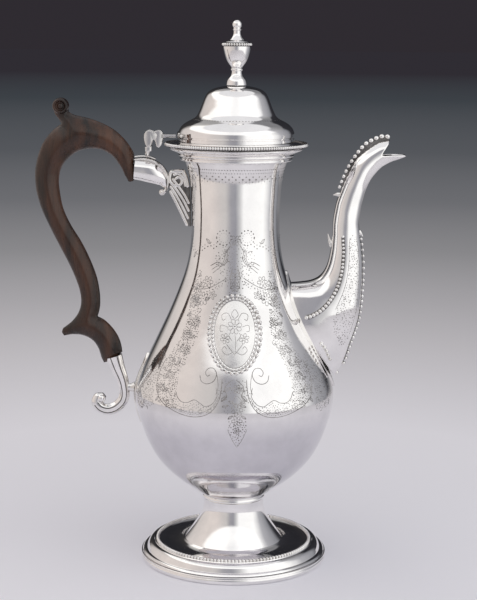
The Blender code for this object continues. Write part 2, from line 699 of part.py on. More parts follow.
def make_lid():
    crown = LIP_Z + LID_RISE
    band_top = LIP_Z + 9.6
    bead_in = LID_FLANGE_R - 1.9
    band = LID_BAND_R
    dome = LID_DOME_R
    shoulder = LID_SHOULDER_R
    shell = [(bead_in, LIP_Z + 2.3), (band + 2.0, LIP_Z + 3.2), (band, LIP_Z + 3.9), (band, LIP_Z + 6.2),
             (band - 0.4, LIP_Z + 6.6), (band, LIP_Z + 7.0), (band, band_top), (band - 0.8, band_top + 1.9),
             (dome + 6.2, band_top + 5.8), (dome + 3.0, band_top + 7.4), (dome, band_top + 11.2),
             (dome - 1.8, crown - 13.0), (shoulder + 2.2, crown - 7.6), (shoulder, crown - 3.6),
             (shoulder - 2.2, crown - 1.8), (shoulder * 0.62, crown - 0.6), (STUD_R + GAP, crown)]
    shell.reverse()
    as_part(thicken(turned("lid_shell", shell, False), LID_WALL), lid=True)

    edge = bead_in + GAP
    rim = [(edge + 0.3, LIP_Z + 2.6), (LID_FLANGE_R - 0.4, LIP_Z + 2.4), (LID_FLANGE_R, LIP_Z + 1.5),
           (LID_FLANGE_R - 0.4, LIP_Z + 0.6), (edge + 0.3, LID_SEAT), (edge, LIP_Z + 1.4)]
    as_part(turned("lid_bead_band", rim, True), lid=True)

    out = MOUTH_R - WALL - BEZEL_CLEARANCE
    plate_out = band - LID_WALL - GAP
    bezel = [(plate_out, LID_SEAT + 1.0), (plate_out, LID_SEAT), (out, LID_SEAT), (out - 0.3, LID_SEAT - BEZEL_DEPTH),
             (out - BEZEL_WALL - 0.3, LID_SEAT - BEZEL_DEPTH), (out - BEZEL_WALL, LID_SEAT + 1.0)]
    as_part(turned("lid_bezel", bezel, True), lid=True)


def make_finial():
    crown = LIP_Z + LID_RISE
    base = crown + GAP
    tall = FINIAL_HEIGHT
    bore = STUD_R + GAP
    neck = base + 0.256 * tall
    foot = [(bore, neck), (0.35 * FINIAL_R, neck), (0.33 * FINIAL_R, base + 0.17 * tall),
            (0.43 * FINIAL_R, base + 0.13 * tall), (0.58 * FINIAL_R, base + 0.08 * tall),
            (0.67 * FINIAL_R, base + 0.04 * tall), (0.68 * FINIAL_R, base), (bore, base)]
    as_part(turned("finial_foot", foot, True, SMALL_STEPS), lid=True)
    low = neck + GAP
    urn = [(bore, base + 0.59 * tall), (0.91 * FINIAL_R, base + 0.59 * tall), (0.86 * FINIAL_R, base + 0.54 * tall),
           (0.79 * FINIAL_R, base + 0.47 * tall), (0.67 * FINIAL_R, base + 0.39 * tall),
           (0.5 * FINIAL_R, base + 0.315 * tall), (0.36 * FINIAL_R, low), (bore, low)]
    as_part(turned("finial_urn", urn, True, SMALL_STEPS), lid=True)
    seat = base + 0.59 * tall + GAP
    ring = [(0.93 * FINIAL_R, seat + 1.8), (FINIAL_R, seat + 0.9), (0.93 * FINIAL_R, seat), (0.7 * FINIAL_R, seat),
            (0.7 * FINIAL_R, seat + 1.8)]
    as_part(turned("finial_bead_ring", ring, True, SMALL_STEPS), lid=True)
    top = crown + tall
    cap_z = seat + 1.8 + GAP
    span = top - cap_z
    ball = 0.31 * FINIAL_R
    ball_z = top - ball
    cap = [(0.0, top)]
    for degrees in (60, 30, 0, -30):
        a = math.radians(degrees)
        cap.append((ball * math.cos(a), ball_z + ball * math.sin(a)))
    cap += [(2.1, ball_z - ball * 0.9), (2.2, cap_z + 0.40 * span), (3.3, cap_z + 0.25 * span),
            (0.56 * FINIAL_R, cap_z + 0.11 * span), (0.88 * FINIAL_R, cap_z), (0.0, cap_z)]
    as_part(turned("finial_cap", cap, False, SMALL_STEPS), lid=True)

    stud_low = crown - LID_WALL - 5.0
    stud_top = cap_z - GAP
    as_part(rod("finial_stud", (0, 0, stud_low), (0, 0, stud_top), STUD_R, SMALL_STEPS), lid=True)
    under = crown - LID_WALL - GAP
    washer = [(3.8, under - 0.2), (3.8, under - 1.0), (bore, under - 1.0), (bore, under - 0.2)]
    as_part(turned("finial_washer", washer, True, SMALL_STEPS), lid=True)
    nut = [(3.2, under - 1.3), (3.2, under - 3.7), (bore, under - 3.7), (bore, under - 1.3)]
    piece = turned("finial_nut", nut, True, 6)
    piece.modifiers["turn"].use_smooth_shade = False
    as_part(piece, lid=True)


# Hinge -------------------------------------------------------------------------------------------------------
def knuckle(name, index, side):
    """One hinge plate: a ring round the pin and a rounded lobe to its left (-1) or right (+1)."""
    lobe = [(0.0, KNUCKLE_R), (1.6, 3.0), (3.4, 3.3), (5.0, 2.2), (5.7, 0.2), (5.5, -2.6), (4.9, -5.0),
            (3.6, -6.9), (1.8, -6.9), (0.6, -KNUCKLE_R - 0.6)]
    angles = [math.radians(a) for a in (20, 60, 100, 140)]
    turn = [(-KNUCKLE_R * math.sin(a), -KNUCKLE_R * math.cos(a)) for a in angles]
    outline = [(HINGE.x + side * x, HINGE.z + z) for x, z in lobe + turn]
    pitch = KNUCKLE_WIDTH + GAP
    return plate(name, outline, KNUCKLE_WIDTH / 2, (index - (KNUCKLE_COUNT - 1) / 2) * pitch)


def make_hinge(band_layer):
    pitch = KNUCKLE_WIDTH + GAP
    half = (KNUCKLE_COUNT * pitch - GAP) / 2
    past = half + 1.0
    hole = rod("hinge_pin_hole", (HINGE.x, -past, HINGE.z), (HINGE.x, past, HINGE.z), PIN_R + PIN_CLEARANCE, 12)
    as_cutter(hole)
    as_part(rod("hinge_pin", (HINGE.x, -half, HINGE.z), (HINGE.x, half, HINGE.z), PIN_R, 12))

    bottom = HINGE.z - 6.9
    fixed = box("hinge_bracket", (HINGE.x - 5.2, -half, bottom - 2.6), (HINGE.x - 1.0, half, bottom + 0.4))
    for index in range(0, KNUCKLE_COUNT, 2):
        boolean(fixed, as_cutter(knuckle("fixed_knuckle", index, -1)), "UNION")
    line = socket_stations()
    x0, z0, r0 = line[2]
    seat = z0 + r0 + GAP + 1.75 + GAP
    post = rod("hinge_post", (x0 + 3.6, 0, seat), (HINGE.x - 3.4, 0, bottom - 1.0), 1.7, 10)
    boolean(fixed, as_cutter(post), "UNION")
    boolean(fixed, hole, "DIFFERENCE")
    as_part(fixed)

    inner = half - pitch
    leaf_low = (HINGE.x + 4.6, -inner, HINGE.z - 1.6)
    leaf_high = (HINGE.x + 6.0, inner, HINGE.z + 1.2)
    moving = box("hinge_leaf", leaf_low, leaf_high)
    for index in range(1, KNUCKLE_COUNT, 2):
        boolean(moving, as_cutter(knuckle("moving_knuckle", index, 1)), "UNION")
    reach = -(LID_BAND_R + GAP + PLATE_THICK + GAP)
    strap = box("hinge_strap", (HINGE.x + 5.6, -2.4, HINGE.z - 1.2), (reach, 2.4, HINGE.z + 0.8))
    boolean(moving, as_cutter(strap), "UNION")
    boolean(moving, hole, "DIFFERENCE")
    as_part(moving, lid=True)

    shape = [(0.0, 0.55), (0.1, 0.85), (0.5, 1.0), (0.9, 0.85), (1.0, 0.55)]
    plate_top = HINGE.z + 2.6
    plate_bottom = HINGE.z - 1.7
    as_part(leaf("lid_hinge_plate", band_layer, -1, plate_top, plate_bottom, 14.0, shape), lid=True)


def make_band_layer():
    near = LID_BAND_R + GAP
    far = near + PLATE_THICK
    points = [(far, HINGE.z + 3.0), (far, HINGE.z - 3.0), (near, HINGE.z - 3.0), (near, HINGE.z + 3.0)]
    return as_cutter(turned("band_layer", points, True))


make_foot()
make_body()
plate_layer, leaf_shape = make_spout()
make_handle(plate_layer, leaf_shape)
make_lid()
make_finial()
make_hinge(make_band_layer())
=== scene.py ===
"""Looks of the silver coffee pot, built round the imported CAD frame.

Profiles and outlines below are millimetres: x about the pot's upright axis (+X the spout, -X the handle),
height above the table. Each turned profile is fitted to its CAD node's box.
"""

import math
import random

import bmesh
import bpy
import numpy as np
from mathutils import Matrix, Vector
from mathutils.geometry import delaunay_2d_cdt


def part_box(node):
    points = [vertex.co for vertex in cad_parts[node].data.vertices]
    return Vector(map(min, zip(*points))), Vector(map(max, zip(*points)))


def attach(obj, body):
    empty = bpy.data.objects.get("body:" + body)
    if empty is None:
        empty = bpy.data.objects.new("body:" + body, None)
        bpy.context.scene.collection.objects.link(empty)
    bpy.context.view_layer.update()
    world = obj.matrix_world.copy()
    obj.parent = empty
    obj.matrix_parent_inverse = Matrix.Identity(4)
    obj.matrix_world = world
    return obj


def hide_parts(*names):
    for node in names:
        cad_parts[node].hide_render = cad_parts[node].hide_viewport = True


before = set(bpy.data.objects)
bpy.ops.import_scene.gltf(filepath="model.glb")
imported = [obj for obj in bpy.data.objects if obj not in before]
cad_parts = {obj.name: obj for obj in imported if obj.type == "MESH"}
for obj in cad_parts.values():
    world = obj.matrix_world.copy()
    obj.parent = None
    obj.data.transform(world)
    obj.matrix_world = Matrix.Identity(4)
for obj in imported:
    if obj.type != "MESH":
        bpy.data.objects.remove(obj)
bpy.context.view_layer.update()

MM = 0.001
TAU = 2.0 * math.pi
RIM_LOW, RIM_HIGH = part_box("foot_rim")
AXIS = Vector(((RIM_LOW.x + RIM_HIGH.x) / 2, 0.0, RIM_LOW.z))
random.seed(7)


def span(node):
    """Lowest and highest corner of a CAD node in millimetres about the pot's axis."""
    low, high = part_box(node)
    return (low - AXIS) / MM, (high - AXIS) / MM


# Mesh helpers ------------------------------------------------------------------------------------------------
def piece(name, verts, faces, material, body="pot", nodes=(), slot="silver", angle=34.0, thickness=0.0,
          recess=None, recessed=()):
    """A mesh object in the row frame from points in millimetres."""
    mesh = bpy.data.meshes.new(name)
    points = np.asarray(verts, float) * MM + np.array(AXIS)
    mesh.from_pydata(points.tolist(), [], [list(f) for f in faces])
    if recess is not None:
        mesh.materials.append(material)
        mesh.materials.append(recess)
        mesh.polygons.foreach_set("material_index", list(recessed))
    mesh.validate()
    mesh.update()
    mesh.polygons.foreach_set("use_smooth", [True] * len(mesh.polygons))
    obj = bpy.data.objects.new(name, mesh)
    bpy.context.scene.collection.objects.link(obj)
    bm = bmesh.new()
    bm.from_mesh(mesh)
    bmesh.ops.recalc_face_normals(bm, faces=bm.faces)
    bm.to_mesh(mesh)
    bm.free()
    mesh.set_sharp_from_angle(angle=math.radians(angle))
    if recess is None:
        mesh.materials.append(material)
    if thickness:
        solid = obj.modifiers.new("wall", "SOLIDIFY")
        solid.thickness = thickness * MM
        solid.offset = -1.0
        solid.use_even_offset = True
    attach(obj, body)
    if nodes:
        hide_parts(*nodes)
    return obj


class Parts:
    """Collects several closed forms into one mesh; forms added as dark take the near-black recess silver, painted
    shade.
    """

    def __init__(self):
        self.verts = []
        self.faces = []
        self.dark = []

    def add(self, verts, faces, dark=0):
        base = len(self.verts)
        self.verts += [tuple(v) for v in verts]
        self.faces += [tuple(base + i for i in f) for f in faces]
        self.dark += [dark] * len(faces)

    def done(self, name, material, slot="silver_trim", **rest):
        if any(self.dark):
            rest.update(recess=RECESS_SHADE_SILVER, recessed=self.dark)
        return piece(name, self.verts, self.faces, material, slot=slot, **rest)


def curve(points, per=6):
    """Catmull-Rom line through points of any dimension."""
    pts = [np.asarray(p, float) for p in points]
    pts = [2 * pts[0] - pts[1]] + pts + [2 * pts[-1] - pts[-2]]
    out = []
    for p0, p1, p2, p3 in zip(pts, pts[1:], pts[2:], pts[3:]):
        for k in range(per):
            t = k / per
            out.append(0.5 * (2 * p1 + (p2 - p0) * t + (2 * p0 - 5 * p1 + 4 * p2 - p3) * t * t
                              + (3 * p1 - p0 - 3 * p2 + p3) * t * t * t))
    out.append(pts[-2])
    return out


def smoothed(points, per=6):
    """A smooth line through three points or more; two points stay straight."""
    return curve(points, per) if len(points) > 2 else [np.asarray(p, float) for p in points]


def runs(*lines, per=5):
    """One profile from several smooth runs that meet at sharp corners."""
    out = []
    for line in lines:
        smooth = smoothed(line, per)
        out += smooth if not out or np.linalg.norm(out[-1] - smooth[0]) > 1e-6 else smooth[1:]
    return [tuple(p) for p in out]


def fitted(profile, node):
    """The profile scaled to its CAD node's largest radius, and to its height."""
    low, high = span(node)
    radius = (high.x - low.x) / 2
    top = max(z for _, z in profile)
    bottom = min(z for _, z in profile)
    wide = max(r for r, _ in profile)
    return [(r * radius / wide, low.z + (z - bottom) * (high.z - low.z) / (top - bottom)) for r, z in profile]


def turned_mesh(profile, closed=False, steps=160):
    """Points and faces of a profile turned about the pot's axis."""
    verts, faces, rings = [], [], []
    for r, z in profile:
        if r < 1e-6:
            rings.append([len(verts)])
            verts.append((0.0, 0.0, z))
            continue
        ring = []
        for k in range(steps):
            a = TAU * k / steps
            ring.append(len(verts))
            verts.append((r * math.cos(a), r * math.sin(a), z))
        rings.append(ring)
    pairs = list(zip(rings, rings[1:]))
    if closed:
        pairs.append((rings[-1], rings[0]))
    for a, b in pairs:
        for k in range(steps):
            n = (k + 1) % steps
            quad = [a[k % len(a)], b[k % len(b)], b[n % len(b)], a[n % len(a)]]
            unique = list(dict.fromkeys(quad))
            if len(unique) > 2:
                faces.append(unique)
    return verts, faces


def turned(name, profile, material, closed=False, steps=160, **rest):
    """A piece made of one profile turned about the pot's axis."""
    verts, faces = turned_mesh(profile, closed, steps)
    return piece(name, verts, faces, material, **rest)


def walled(outer, wall):
    """A closed profile from an outer line and the same line moved in by the wall."""
    inner = []
    for i, (r, z) in enumerate(outer):
        a = outer[max(i - 1, 0)]
        b = outer[min(i + 1, len(outer) - 1)]
        dr, dz = b[0] - a[0], b[1] - a[1]
        length = math.hypot(dr, dz) or 1.0
        nr, nz = dz / length, -dr / length
        inner.append((max(0.0, r - nr * wall) if r > 1e-6 else 0.0, z - nz * wall))
    return outer, inner


def stitched(rows):
    """Quads between neighbouring rings of vertex numbers."""
    faces = []
    for a, b in zip(rows, rows[1:]):
        for k in range(len(a)):
            n = (k + 1) % len(a)
            faces.append((a[k], b[k], b[n], a[n]))
    return faces


def sweep(path, sides=20, flat=1.0, ribs=None, round_ends=(True, True)):
    """A tube along (x, z, radius) points in the pot's upright plane. flat is its depth across the pot;
    ribs(angle, share) scales the section."""
    line = [np.asarray(p, float) for p in path]
    verts, rows = [], []
    count = len(line)
    total = [0.0]
    for a, b in zip(line, line[1:]):
        total.append(total[-1] + math.hypot(b[0] - a[0], b[1] - a[1]))

    def ring(x, z, r, tx, tz, share):
        row = []
        for k in range(sides):
            a = TAU * k / sides
            s = r * (ribs(a, share) if ribs else 1.0)
            out = s * math.cos(a)
            row.append(len(verts))
            verts.append((x - tz * out, -s * flat * math.sin(a), z + tx * out))
        rows.append(row)

    for i, (x, z, r) in enumerate(line):
        a, b = line[max(i - 1, 0)], line[min(i + 1, count - 1)]
        tx, tz = b[0] - a[0], b[1] - a[1]
        length = math.hypot(tx, tz)
        tx, tz = tx / length, tz / length
        share = total[i] / total[-1]
        if i == 0 and round_ends[0]:
            for t in (80, 60, 40, 20):
                c, s = math.cos(math.radians(t)), math.sin(math.radians(t))
                ring(x - tx * r * s, z - tz * r * s, r * c, tx, tz, share)
        ring(x, z, r, tx, tz, share)
        if i == count - 1 and round_ends[1]:
            for t in (20, 40, 60, 80):
                c, s = math.cos(math.radians(t)), math.sin(math.radians(t))
                ring(x + tx * r * s, z + tz * r * s, r * c, tx, tz, share)
    faces = stitched(rows)
    for row in (rows[0], rows[-1]):
        middle = np.mean([verts[i] for i in row], axis=0)
        hub = len(verts)
        verts.append(tuple(middle))
        for k in range(sides):
            faces.append((row[k], row[(k + 1) % sides], hub))
    return verts, faces


def ball_template(level):
    bm = bmesh.new()
    bmesh.ops.create_icosphere(bm, subdivisions=level, radius=1.0)
    verts = np.array([v.co[:] for v in bm.verts])
    faces = [[v.index for v in f.verts] for f in bm.faces]
    bm.free()
    return verts, faces


BALLS = {level: ball_template(level) for level in (2, 3)}


def add_bead(parts, centre, radii, axes=None, level=2):
    """A bead with its own radii along three axes (rows), upright axes by default."""
    verts, faces = BALLS[level]
    local = verts * np.asarray(radii, float)
    if axes is not None:
        local = local @ np.asarray(axes, float)
    parts.add(local + np.asarray(centre, float), faces)


def bead_ring(parts, radius, z, count, bead, tall=1.0):
    for k in range(count):
        a = TAU * (k + 0.5) / count
        c, s = math.cos(a), math.sin(a)
        axes = [(c, s, 0), (-s, c, 0), (0, 0, 1)]
        add_bead(parts, (radius * c, radius * s, z), (bead, bead, bead * tall), axes)


def slab(outline, half, edge=0.35):
    """A bevelled plate in the upright plane from an (x, z) outline."""
    pts = [np.asarray(p, float) for p in outline]
    count = len(pts)
    area = sum(a[0] * b[1] - b[0] * a[1] for a, b in zip(pts, pts[1:] + pts[:1]))
    if area < 0:
        pts.reverse()
    normals = []
    for i in range(count):
        a, b = pts[i - 1], pts[(i + 1) % count]
        d = b - a
        normals.append(np.array([d[1], -d[0]]) / (np.linalg.norm(d) or 1.0))
    verts, rows = [], []
    for y, inset in ((-half, edge), (-half + edge * 0.3, edge * 0.3), (-half + edge, 0.0), (half - edge, 0.0),
                     (half - edge * 0.3, edge * 0.3), (half, edge)):
        row = []
        for p, n in zip(pts, normals):
            q = p - n * inset
            row.append(len(verts))
            verts.append((q[0], y, q[1]))
        rows.append(row)
    faces = []
    for a, b in zip(rows, rows[1:]):
        for k in range(count):
            n = (k + 1) % count
            faces.append((a[k], a[n], b[n], b[k]))
    faces.append(tuple(reversed(rows[0])))
    faces.append(tuple(rows[-1]))
    return verts, faces


# Materials ---------------------------------------------------------------------------------------------------
def new_material(name):
    mat = bpy.data.materials.new(name)
    mat.use_nodes = True
    tree = mat.node_tree
    shader = tree.nodes["Principled BSDF"]
    coords = tree.nodes.new("ShaderNodeTexCoord")
    return mat, tree, shader, coords.outputs["Object"]


def noise(tree, vector, scale, detail=4.0, rough=0.55, stretch=None):
    node = tree.nodes.new("ShaderNodeTexNoise")
    node.inputs["Scale"].default_value = scale
    node.inputs["Detail"].default_value = detail
    node.inputs["Roughness"].default_value = rough
    if stretch is not None:
        mapping = tree.nodes.new("ShaderNodeMapping")
        mapping.inputs["Scale"].default_value = stretch
        tree.links.new(vector, mapping.inputs["Vector"])
        vector = mapping.outputs["Vector"]
    tree.links.new(vector, node.inputs["Vector"])
    return node.outputs["Fac"]


def ramp(tree, fac, low, high, at=(0.0, 1.0)):
    """A float or colour read from a two-stop ramp."""
    if isinstance(low, float):
        node = tree.nodes.new("ShaderNodeMapRange")
        node.inputs["From Min"].default_value = at[0]
        node.inputs["From Max"].default_value = at[1]
        node.inputs["To Min"].default_value = low
        node.inputs["To Max"].default_value = high
        tree.links.new(fac, node.inputs["Value"])
        return node.outputs["Result"]
    node = tree.nodes.new("ShaderNodeValToRGB")
    node.color_ramp.elements[0].position = at[0]
    node.color_ramp.elements[1].position = at[1]
    node.color_ramp.elements[0].color = (*low, 1.0)
    node.color_ramp.elements[1].color = (*high, 1.0)
    tree.links.new(fac, node.inputs["Fac"])
    return node.outputs["Color"]


def bump(tree, height, strength, distance, before=None):
    node = tree.nodes.new("ShaderNodeBump")
    node.inputs["Strength"].default_value = strength
    node.inputs["Distance"].default_value = distance
    tree.links.new(height, node.inputs["Height"])
    if before is not None:
        tree.links.new(before, node.inputs["Normal"])
    return node.outputs["Normal"]


def silver(name, bright, dull, smooth, worn, hammer=0.25, scratch=0.12, hammer_scale=55.0, shade_below=None):
    """Polished silver: tint between bright and dull, roughness between smooth and worn, a hand-raised
    surface's slow waves, and hairline polishing marks. Optional painted shade darkens the tint below a band of heights."""
    mat, tree, shader, coords = new_material(name)
    shader.inputs["Metallic"].default_value = 1.0
    tarnish = noise(tree, coords, 60.0, 6.0, 0.6)
    color = ramp(tree, tarnish, dull, bright, (0.36, 0.58))
    # Painted shade: below the given band of heights the colour is multiplied by a dim lavender tint, standing in for
    # the darker reflections and shade under the belly.
    if shade_below:
        bottom, top, tint = shade_below
        low = ramp(tree, tarnish, tuple(a * b for a, b in zip(dull, tint)), tuple(a * b for a, b in zip(bright, tint)),
                   (0.36, 0.58))
        place = tree.nodes.new("ShaderNodeSeparateXYZ")
        tree.links.new(coords, place.inputs[0])
        mix = tree.nodes.new("ShaderNodeMix")
        mix.data_type = "RGBA"
        tree.links.new(ramp(tree, place.outputs["Z"], 0.0, 1.0, (bottom, top)), mix.inputs["Factor"])
        tree.links.new(low, mix.inputs[6])
        tree.links.new(color, mix.inputs[7])
        color = mix.outputs[2]
    tree.links.new(color, shader.inputs["Base Color"])
    wear = noise(tree, coords, 240.0, 5.0, 0.65)
    tree.links.new(ramp(tree, wear, smooth, worn, (0.40, 0.72)), shader.inputs["Roughness"])
    waves = noise(tree, coords, hammer_scale, 1.0, 0.4)
    normal = bump(tree, waves, hammer, 0.0006)
    marks = noise(tree, coords, 900.0, 3.0, 0.5, stretch=(1.0, 1.0, 6.0))
    tree.links.new(bump(tree, marks, scratch, 0.00004, normal), shader.inputs["Normal"])
    return mat


SILVER_BRIGHT = (0.95, 0.935, 0.925)
SILVER_DULL = (0.87, 0.855, 0.85)
BODY_SILVER = silver("body_silver", SILVER_BRIGHT, SILVER_DULL, 0.045, 0.12, hammer=0.16)
# The belly's silver carries painted shade: darker and lavender-tinted low down, fading in between 88 and 110 mm up,
# standing in for the darker reflections and shade under the belly.
SHADED_BELLY_SILVER = silver("shaded_belly_silver", SILVER_BRIGHT, SILVER_DULL, 0.045, 0.13, hammer=0.2,
                      shade_below=(0.088, 0.110, (0.75, 0.745, 0.79)))
TURNED_SILVER = silver("turned_silver", SILVER_BRIGHT, SILVER_DULL, 0.05, 0.14, hammer=0.10)
CAST_SILVER = silver("cast_silver", (0.91, 0.895, 0.875), (0.78, 0.76, 0.74), 0.08, 0.22, hammer=0.35, scratch=0.3,
                     hammer_scale=160.0)
BEAD_SILVER = silver("bead_silver", (0.94, 0.93, 0.915), (0.74, 0.72, 0.70), 0.07, 0.2, hammer=0.12, scratch=0.2,
                     hammer_scale=300.0)
# Painted shade: the engraved lines and punched dots are dark silver, standing in for the shade and dark reflections
# inside real cut grooves.
SHADED_CUT_SILVER = silver("shaded_cut_silver", (0.38, 0.365, 0.36), (0.13, 0.12, 0.115), 0.22, 0.42, hammer=0.5, scratch=0.4,
                    hammer_scale=700.0)
# Painted shade: near-black silver for the seams, bands and backing plates between beads and ribs, where shade falls.
RECESS_SHADE_SILVER = silver("recess_shade_silver", (0.22, 0.21, 0.205), (0.07, 0.065, 0.06), 0.3, 0.5, hammer=0.3, scratch=0.4,
                       hammer_scale=400.0)
PLAQUE_SILVER = silver("plaque_silver", (0.90, 0.885, 0.87), (0.74, 0.73, 0.715), 0.24, 0.38, hammer=0.3, scratch=0.4)
PIN_SILVER = silver("pin_silver", (0.82, 0.80, 0.78), (0.60, 0.58, 0.56), 0.16, 0.32, hammer=0.1, scratch=0.5)


def wood_material():
    mat, tree, shader, coords = new_material("handle_wood")
    grain = noise(tree, coords, 90.0, 9.0, 0.62, stretch=(1.4, 1.0, 0.16))
    broad = noise(tree, coords, 26.0, 3.0, 0.5, stretch=(1.0, 1.0, 0.4))
    fine = noise(tree, coords, 900.0, 3.0, 0.6, stretch=(1.0, 1.0, 0.07))
    dark = ramp(tree, grain, (0.0095, 0.0048, 0.0034), (0.098, 0.040, 0.020), (0.36, 0.66))
    warm = ramp(tree, broad, (0.30, 0.27, 0.25), (1.0, 0.92, 0.80), (0.36, 0.64))
    mix = tree.nodes.new("ShaderNodeMix")
    mix.data_type = "RGBA"
    mix.blend_type = "MULTIPLY"
    mix.inputs["Factor"].default_value = 0.85
    tree.links.new(dark, mix.inputs["A"])
    tree.links.new(warm, mix.inputs["B"])
    tree.links.new(mix.outputs["Result"], shader.inputs["Base Color"])
    tree.links.new(ramp(tree, fine, 0.24, 0.44, (0.35, 0.7)), shader.inputs["Roughness"])
    shader.inputs["Specular IOR Level"].default_value = 0.42
    shader.inputs["Coat Weight"].default_value = 0.12
    shader.inputs["Coat Roughness"].default_value = 0.2
    normal = bump(tree, grain, 0.35, 0.0004)
    tree.links.new(bump(tree, fine, 0.25, 0.00012, normal), shader.inputs["Normal"])
    return mat


WOOD = wood_material()

# Body and foot -----------------------------------------------------------------------------------------------
BODY_LINE = [(19.1, 43.5), (24.8, 47.5), (30.2, 51.5), (35.8, 55.5), (42.6, 61.5), (49.4, 69.5), (54.9, 79.5),
             (58.6, 89.5), (61.6, 99.5), (62.4, 107.5), (61.5, 114.5), (56.5, 127.5), (49.4, 142.5), (42.2, 157.5),
             (35.8, 172.5), (30.6, 187.5), (28.0, 202.5), (27.4, 217.5), (27.8, 229.0), (28.7, 240.5), (30.0, 247.0),
             (31.7, 252.5), (32.0, 256.5), (32.2, 261.0)]
BODY_OUTER = fitted([(0.0, 43.3)] + runs([(0.0, 43.3), (19.1, 43.5)], BODY_LINE, per=6), "body")
# The skin stands back by this much, so that the engraving stays inside the CAD box
CUT_RISE = 0.16
BODY_OUTER = [(max(0.0, r - CUT_RISE), z) for r, z in BODY_OUTER]
BODY_WALL, STEM_WALL, DISH_WALL, LID_WALL, SPOUT_WALL = 1.1, 0.9, 0.85, 0.85, 0.9


def body_r(z):
    line = BODY_OUTER[2:]
    for (r0, z0), (r1, z1) in zip(line, line[1:]):
        if z <= z1:
            return r0 + (r1 - r0) * max(0.0, (z - z0) / (z1 - z0))
    return line[-1][0]


def skin(phi, z, out=0.0):
    """A point over the body's skin; phi is degrees from the front towards the spout."""
    r = body_r(z) + out
    a = math.radians(phi)
    return np.array([r * math.sin(a), -r * math.cos(a), z])


outer, inner = walled(BODY_OUTER[1:], BODY_WALL)
turned("pot_body", [(0.0, outer[0][1])] + outer[1:] + [(inner[-1][0], outer[-1][1])]
       + list(reversed(inner[2:-1])) + [(0.0, inner[2][1])], SHADED_BELLY_SILVER, steps=224, nodes=["body"], angle=50)

LIP = runs([(33.2, 252.4), (34.6, 252.9), (34.7, 254.3)], [(34.2, 254.6), (35.6, 255.6), (35.7, 256.3)],
           [(35.4, 256.6), (36.9, 257.5), (39.6, 258.7)], [(40.3, 258.9), (41.1, 259.7), (41.0, 260.5), (40.2, 261.0)],
           [(40.2, 261.0), (32.5, 261.0)], [(32.5, 261.0), (32.5, 252.4)], [(32.5, 252.4), (33.2, 252.4)])
turned("lip_mouldings", fitted(LIP, "lip_moulding")[:-1], TURNED_SILVER, closed=True, steps=192,
       nodes=["lip_moulding"])

STEM = runs([(19.6, 43.0), (19.3, 41.8), (18.8, 40.4)], [(19.4, 40.1), (19.5, 39.4), (18.8, 39.0)],
            [(18.7, 38.2), (18.5, 35.5), (18.7, 32.8), (19.3, 30.2), (20.4, 27.4), (22.0, 24.4), (24.0, 21.3),
             (26.2, 18.3), (28.5, 15.4), (30.8, 12.6), (31.6, 11.6)])
stem_outer, stem_inner = walled(fitted(STEM, "foot_stem"), STEM_WALL)
turned("foot_trumpet", stem_outer + list(reversed(stem_inner)), TURNED_SILVER, closed=True, steps=176,
       nodes=["foot_stem"])

COLLAR = runs([(19.9, 43.4), (20.8, 43.5), (21.2, 42.9), (20.9, 42.2), (19.9, 42.0)], [(19.9, 42.0), (19.9, 43.4)])
turned("foot_collar_ring", fitted(COLLAR, "foot_collar")[:-1], TURNED_SILVER, closed=True, steps=160,
       nodes=["foot_collar"])

DISH = runs([(31.1, 11.9), (32.6, 10.9), (35.0, 10.0), (38.6, 9.6), (42.6, 9.7), (45.4, 10.2), (46.5, 10.6)],
            [(46.5, 10.6), (50.1, 10.6)],
            [(50.1, 10.2), (51.6, 10.1), (53.0, 9.0), (54.0, 7.2), (54.7, 5.7)],
            [(55.2, 5.6), (56.3, 5.5), (57.2, 4.5)])
dish_outer, dish_inner = walled(DISH, DISH_WALL)
dish_low = span("foot_dish")[0].z
dish_inner = [(r, max(z, dish_low)) for r, z in dish_inner]
turned("foot_dish_plate", dish_outer + list(reversed(dish_inner)), TURNED_SILVER, closed=True, steps=208,
       nodes=["foot_dish"])

RIM = runs([(57.5, 4.5), (58.5, 4.4), (58.8, 3.6)], [(58.2, 3.3), (58.6, 2.7), (58.8, 1.8), (58.6, 0.6), (58.0, 0.0)],
           [(58.0, 0.0), (54.2, 0.0)], [(54.2, 0.0), (54.2, 3.3)], [(54.2, 3.3), (57.5, 3.3)],
           [(57.5, 3.3), (57.5, 4.5)])
turned("foot_rim_moulding", fitted(RIM, "foot_rim")[:-1], TURNED_SILVER, closed=True, steps=208,
       nodes=["foot_rim"])

low, high = span("foot_bead_ring")
ring_r, ring_z, bead = (high.x - low.x) / 2, (low.z + high.z) / 2, (high.z - low.z) / 2
FOOT_BEADS, LID_BEADS, FINIAL_BEADS = 138, 168, 34
beads = Parts()
bead_ring(beads, ring_r - bead, ring_z, FOOT_BEADS, bead)
# a near-black ledge under the beads: painted shade between them
ledge = [(ring_r - 2 * bead, low.z), (ring_r - 0.2, low.z), (ring_r - 0.3, low.z + 0.5),
         (ring_r - 2 * bead, low.z + 0.5)]
beads.add(*turned_mesh(ledge, closed=True, steps=150), dark=1)
beads.done("foot_beads", BEAD_SILVER, nodes=["foot_bead_ring"], angle=60)

# Lid ---------------------------------------------------------------------------------------------------------
SHELL = runs([(1.6, 298.0), (6.0, 297.8), (10.0, 297.2), (13.4, 296.3), (16.0, 295.1), (17.9, 293.4), (19.2, 291.2),
              (20.4, 288.3), (21.7, 285.0), (22.9, 282.3), (24.0, 280.3), (25.7, 278.7), (27.8, 277.6), (30.2, 276.4),
              (32.4, 274.9), (34.2, 272.9), (35.2, 270.6), (35.3, 269.3)],
             [(35.3, 269.3), (35.3, 268.3)], [(34.7, 268.0), (34.7, 267.3)], [(35.3, 267.0), (35.3, 264.9)],
             [(36.2, 264.5), (38.4, 264.3), (42.1, 263.5)])
shell_outer = fitted(SHELL, "lid_shell")
outer, inner = walled(list(reversed(shell_outer)), LID_WALL)
turned("lid_dome", outer + list(reversed(inner)), BODY_SILVER, closed=True, steps=208,
       body="lid", nodes=["lid_shell"])

